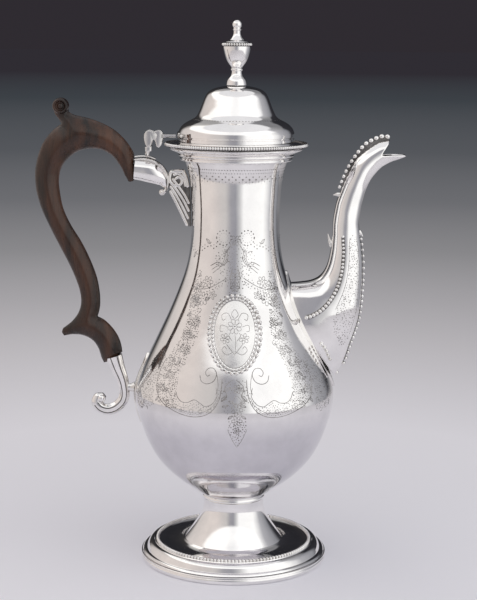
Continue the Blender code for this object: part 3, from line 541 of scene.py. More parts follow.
low, high = span("lid_bead_band")
band_r = (high.x - low.x) / 2
middle = (low.z + high.z) / 2
half = (high.z - low.z) / 2
flange = Parts()
# a near-black band behind the beads: painted shade between them
band = runs([(band_r - 1.8, middle + half * 0.8), (band_r - 0.8, middle + half * 0.92)],
            [(band_r - 0.8, middle + half * 0.92), (band_r - 0.7, middle), (band_r - 0.8, middle - half)],
            [(band_r - 0.8, middle - half), (band_r - 1.8, middle - half)],
            [(band_r - 1.8, middle - half), (band_r - 1.8, middle + half * 0.8)])
flange.add(*turned_mesh(band[:-1], closed=True, steps=180), dark=1)
LID_BEAD_R = 0.80
bead_ring(flange, band_r - LID_BEAD_R, middle, LID_BEADS, LID_BEAD_R, tall=1.2)
flange.done("lid_beads", BEAD_SILVER, body="lid", nodes=["lid_bead_band"], angle=50)

low, high = span("lid_bezel")
bezel_r = (high.x - low.x) / 2
BEZEL = runs([(bezel_r, high.z), (bezel_r, high.z - 1.0)], [(bezel_r, high.z - 1.0), (29.9, high.z - 1.0)],
             [(29.9, high.z - 1.0), (29.8, low.z + 1.0), (29.3, low.z)], [(29.3, low.z), (28.7, low.z)],
             [(28.7, low.z), (28.9, high.z)])
turned("lid_bezel_ring", BEZEL, TURNED_SILVER, closed=True, steps=160,
       body="lid", nodes=["lid_bezel"])

FINIAL_FOOT = runs([(1.6, 308.4), (3.5, 308.4)], [(3.7, 308.1), (3.75, 307.6), (3.3, 307.1)],
                   [(3.15, 306.6), (3.2, 305.6), (3.7, 304.2), (4.7, 303.0), (5.6, 301.7), (6.1, 300.2), (6.3, 298.9)],
                   [(6.35, 298.6), (6.35, 298.3)], [(6.35, 298.3), (1.6, 298.3)])
turned("finial_base", fitted(FINIAL_FOOT, "finial_foot"), TURNED_SILVER, closed=True, steps=72,
       body="lid", nodes=["finial_foot"])

URN = runs([(1.6, 321.6), (8.45, 321.6)],
           [(8.45, 321.6), (8.3, 320.2), (7.9, 318.4), (7.2, 315.9), (6.2, 313.3), (4.9, 311.2), (3.7, 309.6),
            (3.4, 308.7)],
           [(3.4, 308.7), (1.6, 308.7)])
turned("finial_vase", fitted(URN, "finial_urn"), TURNED_SILVER, closed=True, steps=96,
       body="lid", nodes=["finial_urn"], angle=40)

low, high = span("finial_bead_ring")
ring_r = (high.x - low.x) / 2
# a near-black core behind the beads: painted shade between them
core = [(6.5, low.z), (ring_r - 0.7, low.z), (ring_r - 0.5, (low.z + high.z) / 2), (ring_r - 0.7, high.z),
        (6.5, high.z)]
collar = Parts()
collar.add(*turned_mesh(core, closed=True, steps=80), dark=1)
FINIAL_BEAD_R = 0.76
bead_ring(collar, ring_r - FINIAL_BEAD_R, (low.z + high.z) / 2, FINIAL_BEADS, FINIAL_BEAD_R, tall=1.12)
collar.done("finial_beads", BEAD_SILVER, body="lid", nodes=["finial_bead_ring"], angle=50)

ball = [(2.9 * math.cos(math.radians(a)), 334.6 + 2.9 * math.sin(math.radians(a))) for a in range(90, -50, -10)]
CAP = [(max(r, 0.0) if i else 0.0, z) for i, (r, z) in enumerate(ball)]
CAP = CAP + runs([(2.2, 331.9), (2.6, 331.5), (2.2, 331.0)], [(2.1, 330.6), (2.25, 328.8), (3.2, 326.8), (5.1, 324.9)],
                 [(5.6, 324.7), (7.2, 324.2), (8.1, 323.6)], [(8.1, 323.6), (0.0, 323.6)])
turned("finial_knop", fitted(CAP, "finial_cap"), TURNED_SILVER, steps=72,
       body="lid", nodes=["finial_cap"])

# Spout -------------------------------------------------------------------------------------------------------
# Each station from the mouth to the root: crest (x, z), underside (x, z), half the breadth
SPOUT = [((94.1, 265.5), (104.4, 255.6), 6.4), ((91.2, 265.2), (100.2, 254.0), 6.5),
         ((87.3, 264.3), (95.5, 252.4), 6.7),
         ((82.6, 261.5), (91.0, 250.0), 6.8), ((78.1, 258.1), (88.1, 247.7), 6.9), ((73.7, 253.8), (83.5, 242.0), 7.1),
         ((71.3, 249.5), (80.3, 235.4), 7.2), ((68.9, 244.6), (78.6, 229.6), 7.3), ((66.4, 239.1), (77.4, 224.2), 7.4),
         ((62.7, 229.2), (76.4, 215.5), 7.8), ((61.4, 224.2), (77.0, 208.0), 8.2), ((60.0, 215.5), (78.1, 199.9), 8.7),
         ((59.6, 206.2), (79.0, 190.5), 9.4), ((58.8, 196.8), (79.1, 181.1), 10.3),
         ((56.6, 187.4), (78.7, 171.6), 11.4),
         ((52.9, 181.6), (78.1, 163.4), 12.6), ((47.7, 178.6), (76.9, 154.5), 13.6),
         ((41.0, 177.4), (74.6, 146.5), 14.3),
         ((34.0, 176.8), (72.0, 139.0), 14.5), ((28.0, 176.0), (68.2, 127.5), 14.5),
         ((24.0, 174.0), (63.0, 118.0), 14.0)]
SPOUT_FINE = curve([(*a, *b, w) for a, b, w in SPOUT], 5)
PER = 5


def spout_at(i, angle, out=0.0):
    """A point on the spout at station i (fractions allowed), angle 0 at the crest, 180 degrees below."""
    s = min(max(i, 0.0), len(SPOUT) - 1.001) * PER
    k = int(s)
    row = SPOUT_FINE[k] * (1 - (s - k)) + SPOUT_FINE[k + 1] * (s - k)
    crest, under, half = row[:2], row[2:4], row[4]
    middle, rise = (crest + under) / 2, (crest - under) / 2
    c, n = math.cos(angle), math.sin(angle)
    side = math.copysign(abs(n) ** 0.92, n)
    long = np.linalg.norm(rise)
    point = np.array([middle[0] + rise[0] * c, -half * side, middle[1] + rise[1] * c])
    normal = np.array([rise[0] / long * c / long, -n / half, rise[1] / long * c / long])
    return point + normal / (np.linalg.norm(normal) or 1.0) * out


# Station of the mouth's rim at each angle from the crest in degrees
RIM_AT = [(0, 0.0), (20, 0.25), (45, 0.85), (70, 1.7), (86, 2.35), (95, 2.55), (103, 2.4), (112, 1.95), (127, 1.0),
          (142, 0.4), (152, 0.08), (162, 0.0), (180, 0.0)]


def root_at(angle):
    """Station where this line of the spout meets the body's skin."""
    low, high = 8.0, len(SPOUT) - 1.01
    for _ in range(24):
        middle = (low + high) / 2
        p = spout_at(middle, angle)
        if math.hypot(p[0], p[1]) > body_r(p[2]) + 0.15:
            low = middle
        else:
            high = middle
    return low


ROUND, LONG = 72, 130
lines = []
for k in range(ROUND):
    angle = TAU * k / ROUND
    degrees = math.degrees(angle)
    start = np.interp(min(degrees, 360 - degrees), *zip(*RIM_AT))
    end = root_at(angle)
    lines.append([spout_at(start + (end - start) * (j / LONG) ** 0.9, angle) for j in range(LONG + 1)])
verts = [tuple(lines[k][j]) for j in range(LONG + 1) for k in range(ROUND)]
faces = stitched([[j * ROUND + k for k in range(ROUND)] for j in range(LONG + 1)])
piece("spout_shell", verts, faces, BODY_SILVER, nodes=["spout"], angle=60, thickness=SPOUT_WALL)


def on_side(x, z):
    """Station and angle of the spot on the spout's near side seen at (x, z)."""
    best = None
    for step in range(0, (len(SPOUT) - 1) * 20):
        i = step / 20
        s = i * PER
        k = int(s)
        row = SPOUT_FINE[k] * (1 - (s - k)) + SPOUT_FINE[min(k + 1, len(SPOUT_FINE) - 1)] * (s - k)
        crest, under = row[:2], row[2:4]
        d = under - crest
        t = float(np.dot(np.array([x, z]) - crest, d) / np.dot(d, d))
        t = min(max(t, 0.0), 1.0)
        gap = np.linalg.norm(crest + d * t - np.array([x, z]))
        if best is None or gap < best[0]:
            best = (gap, i, t)
    return best[1], math.acos(max(-1.0, min(1.0, 1 - 2 * best[2])))


def spaced(points, pitch):
    """Points at an even pitch along a smooth line."""
    fine = curve(points, 12)
    out, need = [fine[0]], pitch
    for a, b in zip(fine, fine[1:]):
        length = np.linalg.norm(b - a)
        at = 0.0
        while length - at >= need:
            at += need
            out.append(a + (b - a) * at / length)
            need = pitch
        need -= length - at
    return out


def bead_row(name, spots, sizes, nodes, mirror=False, seamed=True):
    """Beads of growing size, in a seam painted near-black as shade round them if seamed; spots are (station, angle)."""
    made = Parts()
    sign = -1 if mirror else 1
    last = max(1, len(spots) - 1)
    seam = []
    for k, (i, angle) in enumerate(spots):
        radius = sizes[0] + (sizes[1] - sizes[0]) * k / last
        p = spout_at(i, angle, radius * 0.75) * np.array([1, sign, 1])
        add_bead(made, p, (radius,) * 3, level=2)
        foot = spout_at(i, angle, 0.12) * np.array([1, sign, 1])
        up = p - foot
        seam.append((foot, up / np.linalg.norm(up), radius * 1.3))
    verts, faces = [], []
    for k, (p, up, wide) in enumerate(seam if seamed else []):
        way = seam[min(k + 1, last)][0] - seam[max(k - 1, 0)][0]
        side = np.cross(way, up)
        side /= np.linalg.norm(side)
        verts += [p + side * wide - up * 0.3, p + side * wide * 0.8 + up * 0.12, p - side * wide * 0.8 + up * 0.12,
                  p - side * wide - up * 0.3]
    if seamed:
        for k in range(len(seam) - 1):
            for j in range(4):
                n = (j + 1) % 4
                faces.append((4 * k + j, 4 * k + n, 4 * k + 4 + n, 4 * k + 4 + j))
        top = 4 * (len(seam) - 1)
        faces += [(0, 3, 2, 1), (top, top + 1, top + 2, top + 3)]
        made.add(verts, faces, dark=1)
    return made.done(name, BEAD_SILVER, nodes=nodes, angle=60)


SIDE_ROW = [(66.0, 206.6), (66.5, 198.1), (66.2, 189.3), (64.4, 179.8), (61.4, 172.3), (57.2, 165.9), (52.4, 161.2),
            (47.0, 158.0), (43.5, 157.0)]
SIDE_PITCH, ROOT_PITCH, EDGE_PITCH, COMB_PITCH = 2.35, 2.9, 2.9, 3.5
side_spots = [on_side(x, z) for x, z in spaced(SIDE_ROW, SIDE_PITCH)]
bead_row("spout_beads_left", side_spots, (0.85, 1.28), ["spout_beads_near"])
bead_row("spout_beads_right", side_spots, (0.85, 1.28), ["spout_beads_far"], mirror=True)
short_spots = [on_side(x, z) for x, z in spaced([(53.8, 140.6), (56.8, 135.4), (59.4, 129.6)], ROOT_PITCH)]
bead_row("spout_root_beads_left", short_spots, (1.25, 0.95), [], seamed=False)
bead_row("spout_root_beads_right", short_spots, (1.25, 0.95), [], mirror=True, seamed=False)
# The row down the spout's front, in tenths of a station
EDGE_START, EDGE_END = 103, 192
edge_line = [spout_at(i / 10, math.pi) for i in range(EDGE_START, EDGE_END)]
edge_spots, gone = [], EDGE_PITCH
for k in range(1, len(edge_line)):
    gone += np.linalg.norm(edge_line[k] - edge_line[k - 1])
    if gone >= EDGE_PITCH:
        edge_spots.append(((EDGE_START + k) / 10, math.pi))
        gone = 0.0
bead_row("spout_beads_edge", edge_spots, (1.0, 1.4), ["spout_beads_front"])

# The comb of beads along the crest behind the mouth, standing on a thin fin painted near-black as shade between the
# beads
COMB = [(63.9, 236.6), (67.0, 244.6), (70.1, 250.8), (74.4, 257.3), (78.8, 262.6), (82.4, 265.0), (86.1, 266.8),
        (89.7, 267.9), (93.6, 267.6)]
crest = Parts()
fine = curve(COMB, 6)
lower = [spout_at(i / 4, 0.0, -0.1) for i in range(1, 34)]
outline = [(p[0], p[2]) for p in lower] + [(x, z) for x, z in fine]
crest.add(*slab(outline, 0.5, 0.12), dark=1)
line = spaced(COMB, COMB_PITCH)
for k, (x, z) in enumerate(line):
    a, b = line[max(k - 1, 0)], line[min(k + 1, len(line) - 1)]
    way = np.array([b[0] - a[0], 0.0, b[1] - a[1]])
    way /= np.linalg.norm(way)
    size = 1.05 + 0.4 * k / (len(line) - 1)
    add_bead(crest, (x, 0.0, z), (size * 1.12, size, size), [way, (0, 1, 0), (-way[2], 0, way[0])], 3)
crest.done("spout_comb", BEAD_SILVER, nodes=["spout_crest"], angle=60)


def thorn(name, base_i, angle, lift, length, radius, nodes):
    """A small curved point standing off the spout."""
    root = spout_at(base_i, angle, -0.2)
    tip = spout_at(base_i - lift, angle, length)
    bend = spout_at(base_i - lift * 0.35, angle, length * 0.45)
    path = curve([(root[0], root[2], radius), (bend[0], bend[2], radius * 0.72), (tip[0], tip[2], radius * 0.22)], 6)
    made = Parts()
    made.add(*sweep(path, 14, 1.1))
    return made.done(name, CAST_SILVER, nodes=nodes, angle=60)


thorn("spout_spur", 8.7, 0.0, -0.3, 3.4, 1.5, ["spout_spur_crest"])
thorn("spout_back_point", 12.6, 0.0, 0.5, 2.9, 1.5, ["spout_thorn_back"])
thorn("spout_front_point", 9.9, math.pi, -0.1, 2.6, 1.3, ["spout_thorn_front"])

low, high = span("spout_drop")
drop_x = (low.x + high.x) / 2
drop_r = (high.x - low.x) / 2
DROP = runs([(0.0, 0.0), (0.5, -0.1), (0.75, -1.0), (1.0, -2.6), (0.7, -4.4)],
            [(0.6, -4.6), (0.95, -5.2), (1.0, -6.3), (0.7, -7.3)],
            [(0.6, -7.5), (0.95, -8.2), (0.8, -9.4), (0.0, -10.0)])
tall = high.z - low.z
verts, faces = turned_mesh([(r * drop_r, high.z + z / 10.0 * tall) for r, z in DROP], steps=32)
piece("spout_pendant", [(x + drop_x, y, z) for x, y, z in verts], faces, CAST_SILVER, nodes=["spout_drop"],
      slot="silver_trim")


def leaf_faces(count, across):
    """Faces of a leaf of two layers, each count rows of across + 1 points, closed round its edge."""
    n = across + 1
    size = count * n
    faces = []
    for j in range(count - 1):
        for k in range(across):
            a = j * n + k
            faces.append((a, a + 1, a + 1 + n, a + n))
            faces.append((size + a, size + a + n, size + a + 1 + n, size + a + 1))
    edge = list(range(n)) + [j * n + across for j in range(1, count)]
    edge += [(count - 1) * n + k for k in range(across - 1, -1, -1)] + [j * n for j in range(count - 2, 0, -1)]
    return faces + [(a, b, size + b, size + a) for a, b in zip(edge, edge[1:] + edge[:1])]


# Outline of the leaves soldered on the body: (height share, half width share) of the CAD node's box
POINTED = [(0.0, 0.0), (0.05, 0.14), (0.14, 0.46), (0.28, 0.86), (0.42, 1.0), (0.6, 1.0), (0.78, 0.84), (0.92, 0.45),
           (1.0, 0.05)]
LEAF_RISE = 1.4
LEAF_ACROSS = 24


def skin_plate(name, node, side):
    """A leaf soldered on the body, on the spout's side (1) or the handle's (-1)."""
    low, high = span(node)
    wide = (high.y - low.y) / 2
    rows = curve(POINTED, 8)
    verts = []
    for layer in (0, 1):
        for t, w in rows:
            z = low.z + (high.z - low.z) * float(t)
            half = max(0.02, wide * max(0.0, float(w)))
            for k in range(LEAF_ACROSS + 1):
                share = 2 * k / LEAF_ACROSS - 1
                y = half * share
                rise = LEAF_RISE * (1.0 - share ** 4) if layer else 0.05
                r = body_r(z) + rise
                y = max(-r * 0.999, min(r * 0.999, y))
                verts.append((side * math.sqrt(r * r - y * y), y, z))
    return piece(name, verts, leaf_faces(len(rows), LEAF_ACROSS), CAST_SILVER, nodes=[node], slot="silver_trim",
                 angle=50)


skin_plate("spout_joint_leaf", "spout_flange", 1)
skin_plate("handle_joint_leaf", "lower_backplate", -1)

# Wood handle -------------------------------------------------------------------------------------------------
# Outline from the socket's mouth over the arch, down to the foot, and back up inside the grip
WOOD_LINES = [
    [(-62.8, 256.0), (-64.3, 258.9), (-67.2, 263.2), (-71.6, 267.9), (-75.8, 271.2), (-81.3, 274.1), (-87.4, 276.6),
     (-93.5, 278.2), (-99.0, 279.4), (-102.6, 281.2)],
    [(-102.6, 281.2), (-102.9, 283.6), (-103.6, 286.6), (-105.2, 289.1), (-107.6, 289.9), (-110.2, 288.9),
     (-111.8, 286.4), (-112.0, 283.4), (-111.0, 279.9), (-108.6, 276.6), (-107.2, 274.0)],
    [(-107.2, 274.0), (-110.4, 271.7), (-113.6, 268.9), (-117.0, 264.8), (-119.9, 259.6), (-122.2, 253.0),
     (-123.72, 245.3), (-123.54, 236.0), (-122.0, 228.0), (-119.2, 219.5), (-114.5, 209.3), (-109.2, 198.7),
     (-103.8, 188.2), (-99.8, 179.2), (-96.9, 170.4), (-96.2, 162.6), (-98.2, 156.1), (-102.4, 150.7), (-107.6, 146.6)],
    [(-107.6, 146.6), (-108.4, 144.2), (-107.0, 141.9)],
    [(-107.0, 141.9), (-101.6, 142.8), (-95.1, 142.2), (-89.3, 139.2), (-85.6, 134.1), (-83.9, 128.6), (-82.2, 124.9)],
    [(-82.2, 124.9), (-77.9, 126.3), (-70.6, 131.8)],
    [(-70.6, 131.8), (-71.2, 136.0), (-73.2, 141.8), (-77.0, 147.5), (-81.6, 152.0), (-85.9, 154.3)],
    [(-85.9, 154.3), (-84.7, 158.6), (-84.2, 163.6), (-84.6, 170.6), (-86.4, 179.8), (-90.4, 190.5), (-95.6, 201.2),
     (-102.1, 211.8), (-106.6, 221.8), (-108.5, 231.1), (-109.2, 239.7), (-107.6, 247.0), (-103.3, 252.8),
     (-97.1, 257.3), (-89.2, 259.1), (-82.3, 258.2), (-76.2, 254.6), (-71.2, 248.3), (-68.4, 242.8), (-66.2, 238.9)],
    [(-66.2, 238.9), (-64.4, 238.8), (-62.8, 239.9)],
    [(-62.8, 239.9), (-62.8, 256.0)]]


def even(line, pitch):
    """Points about a pitch apart along a line, both ends kept."""
    total = sum(np.linalg.norm(b - a) for a, b in zip(line, line[1:]))
    count = max(1, round(total / pitch))
    out, done, index = [line[0]], 0.0, 0
    for k in range(1, count):
        want = total * k / count
        while done + np.linalg.norm(line[index + 1] - line[index]) < want:
            done += np.linalg.norm(line[index + 1] - line[index])
            index += 1
        a, b = line[index], line[index + 1]
        out.append(a + (b - a) * (want - done) / np.linalg.norm(b - a))
    return out + [line[-1]]


def inside(points, loop):
    """Which points lie inside a closed loop."""
    x, y = points[:, 0][:, None], points[:, 1][:, None]
    x0, y0 = loop[:, 0], loop[:, 1]
    x1, y1 = np.roll(x0, -1), np.roll(y0, -1)
    crosses = (y0 > y) != (y1 > y)
    at = x0 + (y - y0) * (x1 - x0) / np.where(np.abs(y1 - y0) < 1e-12, 1e-12, y1 - y0)
    return (np.sum(crosses & (x < at), axis=1) % 2) == 1


def distance(points, loop):
    a, b = loop, np.roll(loop, -1, axis=0)
    d = b - a
    length = np.maximum((d * d).sum(1), 1e-12)
    t = np.clip(((points[:, None, :] - a) * d).sum(2) / length, 0, 1)
    near = a + d * t[..., None]
    return np.linalg.norm(points[:, None, :] - near, axis=2).min(1)


GRIP_PITCH = 1.25
GRIP_DEPTH = 0.80
GRIP_RIDGE = 0.55
GRIP_EDGE = 0.25


def carved(name, lines, nodes):
    """A carved wood form: the outline swells to its middle, where both sides meet in a soft ridge."""
    loop = []
    for line in lines:
        loop += even(smoothed(line, 8), GRIP_PITCH)[:-1]
    loop = np.array(loop)
    before, after = np.roll(loop, 1, axis=0), np.roll(loop, -1, axis=0)
    tangent = after - before
    normal = np.stack([tangent[:, 1], -tangent[:, 0]], 1) / np.linalg.norm(tangent, axis=1)[:, None]
    if not inside((loop + normal * 0.05), loop).mean() > 0.5:
        normal = -normal
    points = [loop]
    for inset in (0.12, 0.38, 0.8, 1.4):
        moved = loop + normal * inset
        keep = inside(moved, loop)
        keep &= distance(moved, loop) > inset * 0.86
        points.append(moved[keep])
    x0, y0 = loop.min(0)
    x1, y1 = loop.max(0)
    row_share = 0.866
    grid = [(x0 + (i + 0.5 * (j % 2)) * GRIP_PITCH, y0 + j * GRIP_PITCH * row_share)
            for j in range(int((y1 - y0) / GRIP_PITCH / row_share) + 1)
            for i in range(int((x1 - x0) / GRIP_PITCH) + 1)]
    grid = np.array(grid)
    grid = grid[inside(grid, loop)]
    grid = grid[distance(grid, loop) > 1.9]
    points.append(grid)
    flat = np.concatenate(points)
    count = len(loop)
    far = distance(flat, loop)
    far[:count] = 0.0
    widest = np.zeros(len(flat))
    for start in range(0, len(flat), 500):
        block = flat[start:start + 500]
        gap = np.linalg.norm(block[:, None, :] - flat[None], axis=2)
        widest[start:start + 500] = np.where(gap <= far[None] + 0.3, far[None], 0.0).max(1)
    widest = np.maximum(widest, far + 1e-6)
    t = np.clip(far / widest, 0, 1)
    dome = np.sqrt(np.clip(1 - (1 - t) ** 2, 0, 1))
    height = GRIP_DEPTH * widest * ((1 - GRIP_RIDGE) * dome + GRIP_RIDGE * (0.25 * dome + 0.75 * t))
    edges = [(i, (i + 1) % count) for i in range(count)]
    co, _, tris, *_ = delaunay_2d_cdt([Vector(p) for p in flat], edges, [], 1, 1e-6)
    links = [set() for _ in co]
    for tri in tris:
        for a, b in ((0, 1), (1, 2), (2, 0)):
            links[tri[a]].add(tri[b])
            links[tri[b]].add(tri[a])
    if len(co) == len(flat):
        for _ in range(3):
            new = height.copy()
            for i in range(count, len(flat)):
                if links[i]:
                    new[i] = 0.6 * height[i] + 0.4 * np.mean([height[j] for j in links[i]])
            height = new
    height[:count] = GRIP_EDGE
    top = [(float(p[0]), -float(h), float(p[1])) for p, h in zip(flat, height)]
    back = [(x, -y, z) for x, y, z in top]
    total = len(top)
    faces = [tuple(tri) for tri in tris]
    faces += [tuple(total + i for i in reversed(tri)) for tri in tris]
    faces += [(i, (i + 1) % count, total + (i + 1) % count, total + i) for i in range(count)]
    return piece(name, top + back, faces, WOOD, nodes=nodes, slot="wood", angle=60)


def carved_eye(name, x, z, radius, depth):
    """A rolled scroll end with a sunk ring and a raised eye on each side."""
    half = [(0.0, depth * 1.02), (0.16, depth * 0.98), (0.34, depth * 0.84), (0.44, depth * 0.76), (0.54, depth * 0.82),
            (0.72, depth), (0.86, depth * 0.94), (0.96, depth * 0.72), (1.0, depth * 0.4)]
    profile = curve([(r * radius, h) for r, h in half], 4)
    whole = [(max(0.0, r), -h) for r, h in profile] + [(r, h) for r, h in reversed(profile)]
    whole[0] = (0.0, whole[0][1])
    whole[-1] = (0.0, whole[-1][1])
    verts, faces = turned_mesh(whole, steps=48)
    return piece(name, [(x + a, c, z + b) for a, b, c in verts], faces, WOOD, slot="wood", angle=50)


carved_eye("handle_thumb_scroll", -107.5, 284.9, 4.95, 4.6)
carved("handle_grip", WOOD_LINES, ["wood_handle"])

# Lower socket: a scroll drawn out of the socket, grooved along its back
SCROLL = [(-75.9, 129.0, 5.3), (-74.9, 125.6, 5.0), (-73.4, 121.2, 4.5), (-71.6, 116.6, 4.0), (-70.2, 112.0, 3.6),
          (-69.4, 106.4, 3.4), (-69.8, 102.4, 3.4), (-71.4, 99.2, 3.5), (-75.0, 96.0, 3.6), (-79.6, 94.5, 3.6),
          (-84.0, 95.6, 3.5), (-86.9, 98.5, 3.3), (-86.4, 101.9, 3.0), (-84.2, 103.0, 2.6)]


def grooved(angle, share):
    """Ridges along the scroll that fade at its curled end."""
    depth = 0.075 * max(0.0, min(1.0, (0.92 - share) * 8)) * min(1.0, 0.25 + share * 4)
    return 1.0 - depth * (0.5 + 0.5 * math.cos(6 * angle + math.pi))


SOCKET_FLAT = 0.86
scroll = Parts()
scroll.add(*sweep(curve(SCROLL, 8), 48, SOCKET_FLAT, grooved, (False, True)))
add_bead(scroll, (-83.9, 0, 101.9), (3.0, 3.5, 3.0), level=3)
# seams painted near-black between the reeds along the scroll's two sides: painted shade
for side in (-1, 1):
    for out in (-0.36, 0.42):
        seam = []
        fine = curve(SCROLL[:12], 6)
        for k, (x, z, r) in enumerate(fine):
            a, b = fine[max(k - 1, 0)], fine[min(k + 1, len(fine) - 1)]
            d = np.array([b[0] - a[0], b[1] - a[1]])
            d /= np.linalg.norm(d)
            seam.append((x - d[1] * r * out, z + d[0] * r * out, 0.34))
        made, made_faces = sweep(seam, 8)
        heights = [side * SOCKET_FLAT * r * math.sqrt(1 - out * out) for _, _, r in fine]
        scroll.add([(x, y + heights[min(max(0, int(i / 8) - 4), len(heights) - 1)], z)
                    for i, (x, y, z) in enumerate(made)], made_faces, dark=1)
scroll.done("handle_scroll", BODY_SILVER, slot="silver", nodes=["lower_socket_scroll"], angle=60)

low, high = span("lower_strut")
middle_z = (low.z + high.z) / 2
strut = Parts()
strut.add(*sweep([(low.x - 1.2, middle_z, 3.2), (low.x + 1.0, middle_z, 2.4), (high.x - 0.8, middle_z, 2.6),
                  (high.x + 1.2, middle_z, 3.6)], 24, 0.8, None, (False, False)))
strut.done("handle_strut", CAST_SILVER, nodes=["lower_strut"], angle=50)

# Upper socket: a swelling ferrule under a reeded C scroll that curls round its end to a ball
SOCKET = [(-62.5, 246.4, 6.1), (-58.5, 246.0, 6.4), (-54.4, 245.4, 6.7), (-50.6, 244.2, 6.5), (-47.4, 242.3, 5.7),
          (-45.0, 240.0, 4.4), (-43.6, 238.0, 2.9)]
socket = Parts()
socket.add(*sweep(curve(SOCKET, 6), 44, SOCKET_FLAT, None, (False, True)))
socket.done("handle_ferrule", BODY_SILVER, slot="silver", nodes=["upper_socket"], angle=60)
STRAP = [(-62.6, 252.4, 0.9), (-58.6, 252.8, 1.1), (-54.2, 252.5, 1.25), (-50.2, 251.2, 1.3), (-46.6, 248.9, 1.35),
         (-43.9, 245.8, 1.35), (-42.4, 242.2, 1.35), (-42.0, 238.6, 1.35), (-42.7, 235.2, 1.35), (-44.3, 232.9, 1.5)]


def reeded(angle, _):
    return 1.0 - 0.18 * (0.5 + 0.5 * math.cos(2 * angle))


strap = Parts()
strap.add(*sweep(curve(STRAP, 6), 32, 2.3, reeded, (True, True)))
# a near-black strip under the strap's lower edge: painted shadow
strap.add(*sweep(curve([(x - 0.5, z - 1.9, 0.6) for x, z, _ in STRAP[:9]], 6), 16, 5.6, None, (True, True)), dark=1)
strap.add(*sweep(curve([(x + 0.3, z + 1.9, 0.6) for x, z, _ in STRAP[:4]], 6), 16, 3.0, None, (True, True)))
add_bead(strap, (-45.6, 0, 232.5), (2.0, 2.7, 2.0), level=3)
strap.done("ferrule_scroll", CAST_SILVER, nodes=["upper_scroll_strap"], angle=60)

# Bracket on the neck: a volute over a fan of ribs
BRACKET = [[(-40.6, 245.4), (-36.8, 246.4), (-32.4, 246.6)],
           [(-32.4, 246.6), (-29.4, 240.5), (-28.1, 230.0), (-27.7, 220.0), (-27.6, 211.6)],
           [(-27.6, 211.6), (-30.2, 211.9)],
           [(-30.2, 211.9), (-33.2, 219.0), (-36.4, 226.0), (-40.0, 232.2), (-41.0, 238.0), (-40.6, 245.4)]]
plate = Parts()
outline = []
for line in BRACKET:
    outline += smoothed(line, 5)[:-1]
# the plate behind the ribs is painted near-black: painted shade between them
plate.add(*slab(outline, 2.2, 0.4), dark=1)
RIBS = [(1.05, [(-40.2, 233.0), (-36.8, 226.6), (-33.4, 219.6), (-30.2, 212.8)]),
        (0.95, [(-40.0, 235.9), (-36.2, 229.9), (-32.6, 223.2), (-29.5, 216.8)]),
        (0.95, [(-39.6, 238.5), (-35.8, 233.2), (-32.0, 227.2), (-29.1, 221.4)]),
        (0.95, [(-38.6, 240.6), (-35.2, 236.2), (-31.8, 231.3), (-29.1, 226.2)]),
        (1.0, [(-40.2, 244.8), (-40.8, 241.0), (-39.6, 238.0), (-36.6, 236.6), (-33.9, 237.8), (-33.4, 240.4),
               (-35.0, 242.0), (-36.9, 241.2)]),
        (1.1, [(-40.0, 245.0), (-36.4, 245.6), (-33.0, 245.5)]), (1.2,
                                                                  [(-32.6, 245.3), (-30.8, 241.4), (-29.8, 236.6)]),
        (0.9, [(-38.2, 243.4), (-35.0, 244.0), (-32.0, 241.0), (-31.2, 236.8)])]
for side in (-1, 1):
    for wide, rib in RIBS:
        made, made_faces = sweep(curve([(x, z, wide) for x, z in rib], 6), 12, 1.1)
        plate.add([(x, y + side * 1.9, z) for x, y, z in made], made_faces)
plate.done("neck_bracket", CAST_SILVER, nodes=["upper_backplate"], angle=50)

# Hinge -------------------------------------------------------------------------------------------------------
PIN_LOW, PIN_HIGH = span("hinge_pin")
PIN_X, PIN_Z = (PIN_LOW.x + PIN_HIGH.x) / 2, (PIN_LOW.z + PIN_HIGH.z) / 2
KNUCKLES, BARREL_R = 5, 2.2
KNUCKLE_GAP = 0.3
HALF = (PIN_HIGH.y - PIN_LOW.y) / 2
PITCH = (2 * HALF + KNUCKLE_GAP) / KNUCKLES
LOBE = [(0.0, 2.2), (1.0, 2.7), (2.2, 3.15), (3.4, 3.2), (4.6, 2.5), (5.5, 1.1), (5.7, -0.6), (5.5, -2.6), (4.9, -5.0),
        (3.7, -6.8), (2.6, -7.0), (1.8, -6.3), (0.9, -3.4), (0.2, -2.2)]


def knuckle(parts, index, side):
    line = curve(LOBE, 4)
    turn = [(-BARREL_R * math.sin(math.radians(a)), -BARREL_R * math.cos(math.radians(a))) for a in range(15, 170, 14)]
    outline = [(PIN_X + side * x, PIN_Z + z) for x, z in list(line) + turn]
    y = (index - (KNUCKLES - 1) / 2) * PITCH
    verts, faces = slab(outline, (PITCH - KNUCKLE_GAP) / 2, 0.28)
    parts.add([(x, v + y, z) for x, v, z in verts], faces)


low, high = span("hinge_bracket")
bracket = Parts()
for index in range(0, KNUCKLES, 2):
    knuckle(bracket, index, -1)
foot_z = PIN_Z - 7.2
bracket.add(*slab([(PIN_X - 5.0, foot_z - 2.1), (PIN_X - 1.2, foot_z - 2.1), (PIN_X - 1.1, foot_z + 0.6),
                   (PIN_X - 5.1, foot_z + 0.6)], HALF, 0.3))
bracket.add(*sweep(curve([(PIN_X - 3.4, foot_z - 1.2, 2.2), (PIN_X - 3.9, foot_z - 2.6, 1.45),
                          (PIN_X - 4.2, foot_z - 4.6, 1.35), (PIN_X - 4.4, low.z + 0.3, 1.9)], 4), 20, 1.15, None,
                   (False, False)))
bracket.done("hinge_fixed", CAST_SILVER, slot="silver", nodes=["hinge_bracket"], angle=45)

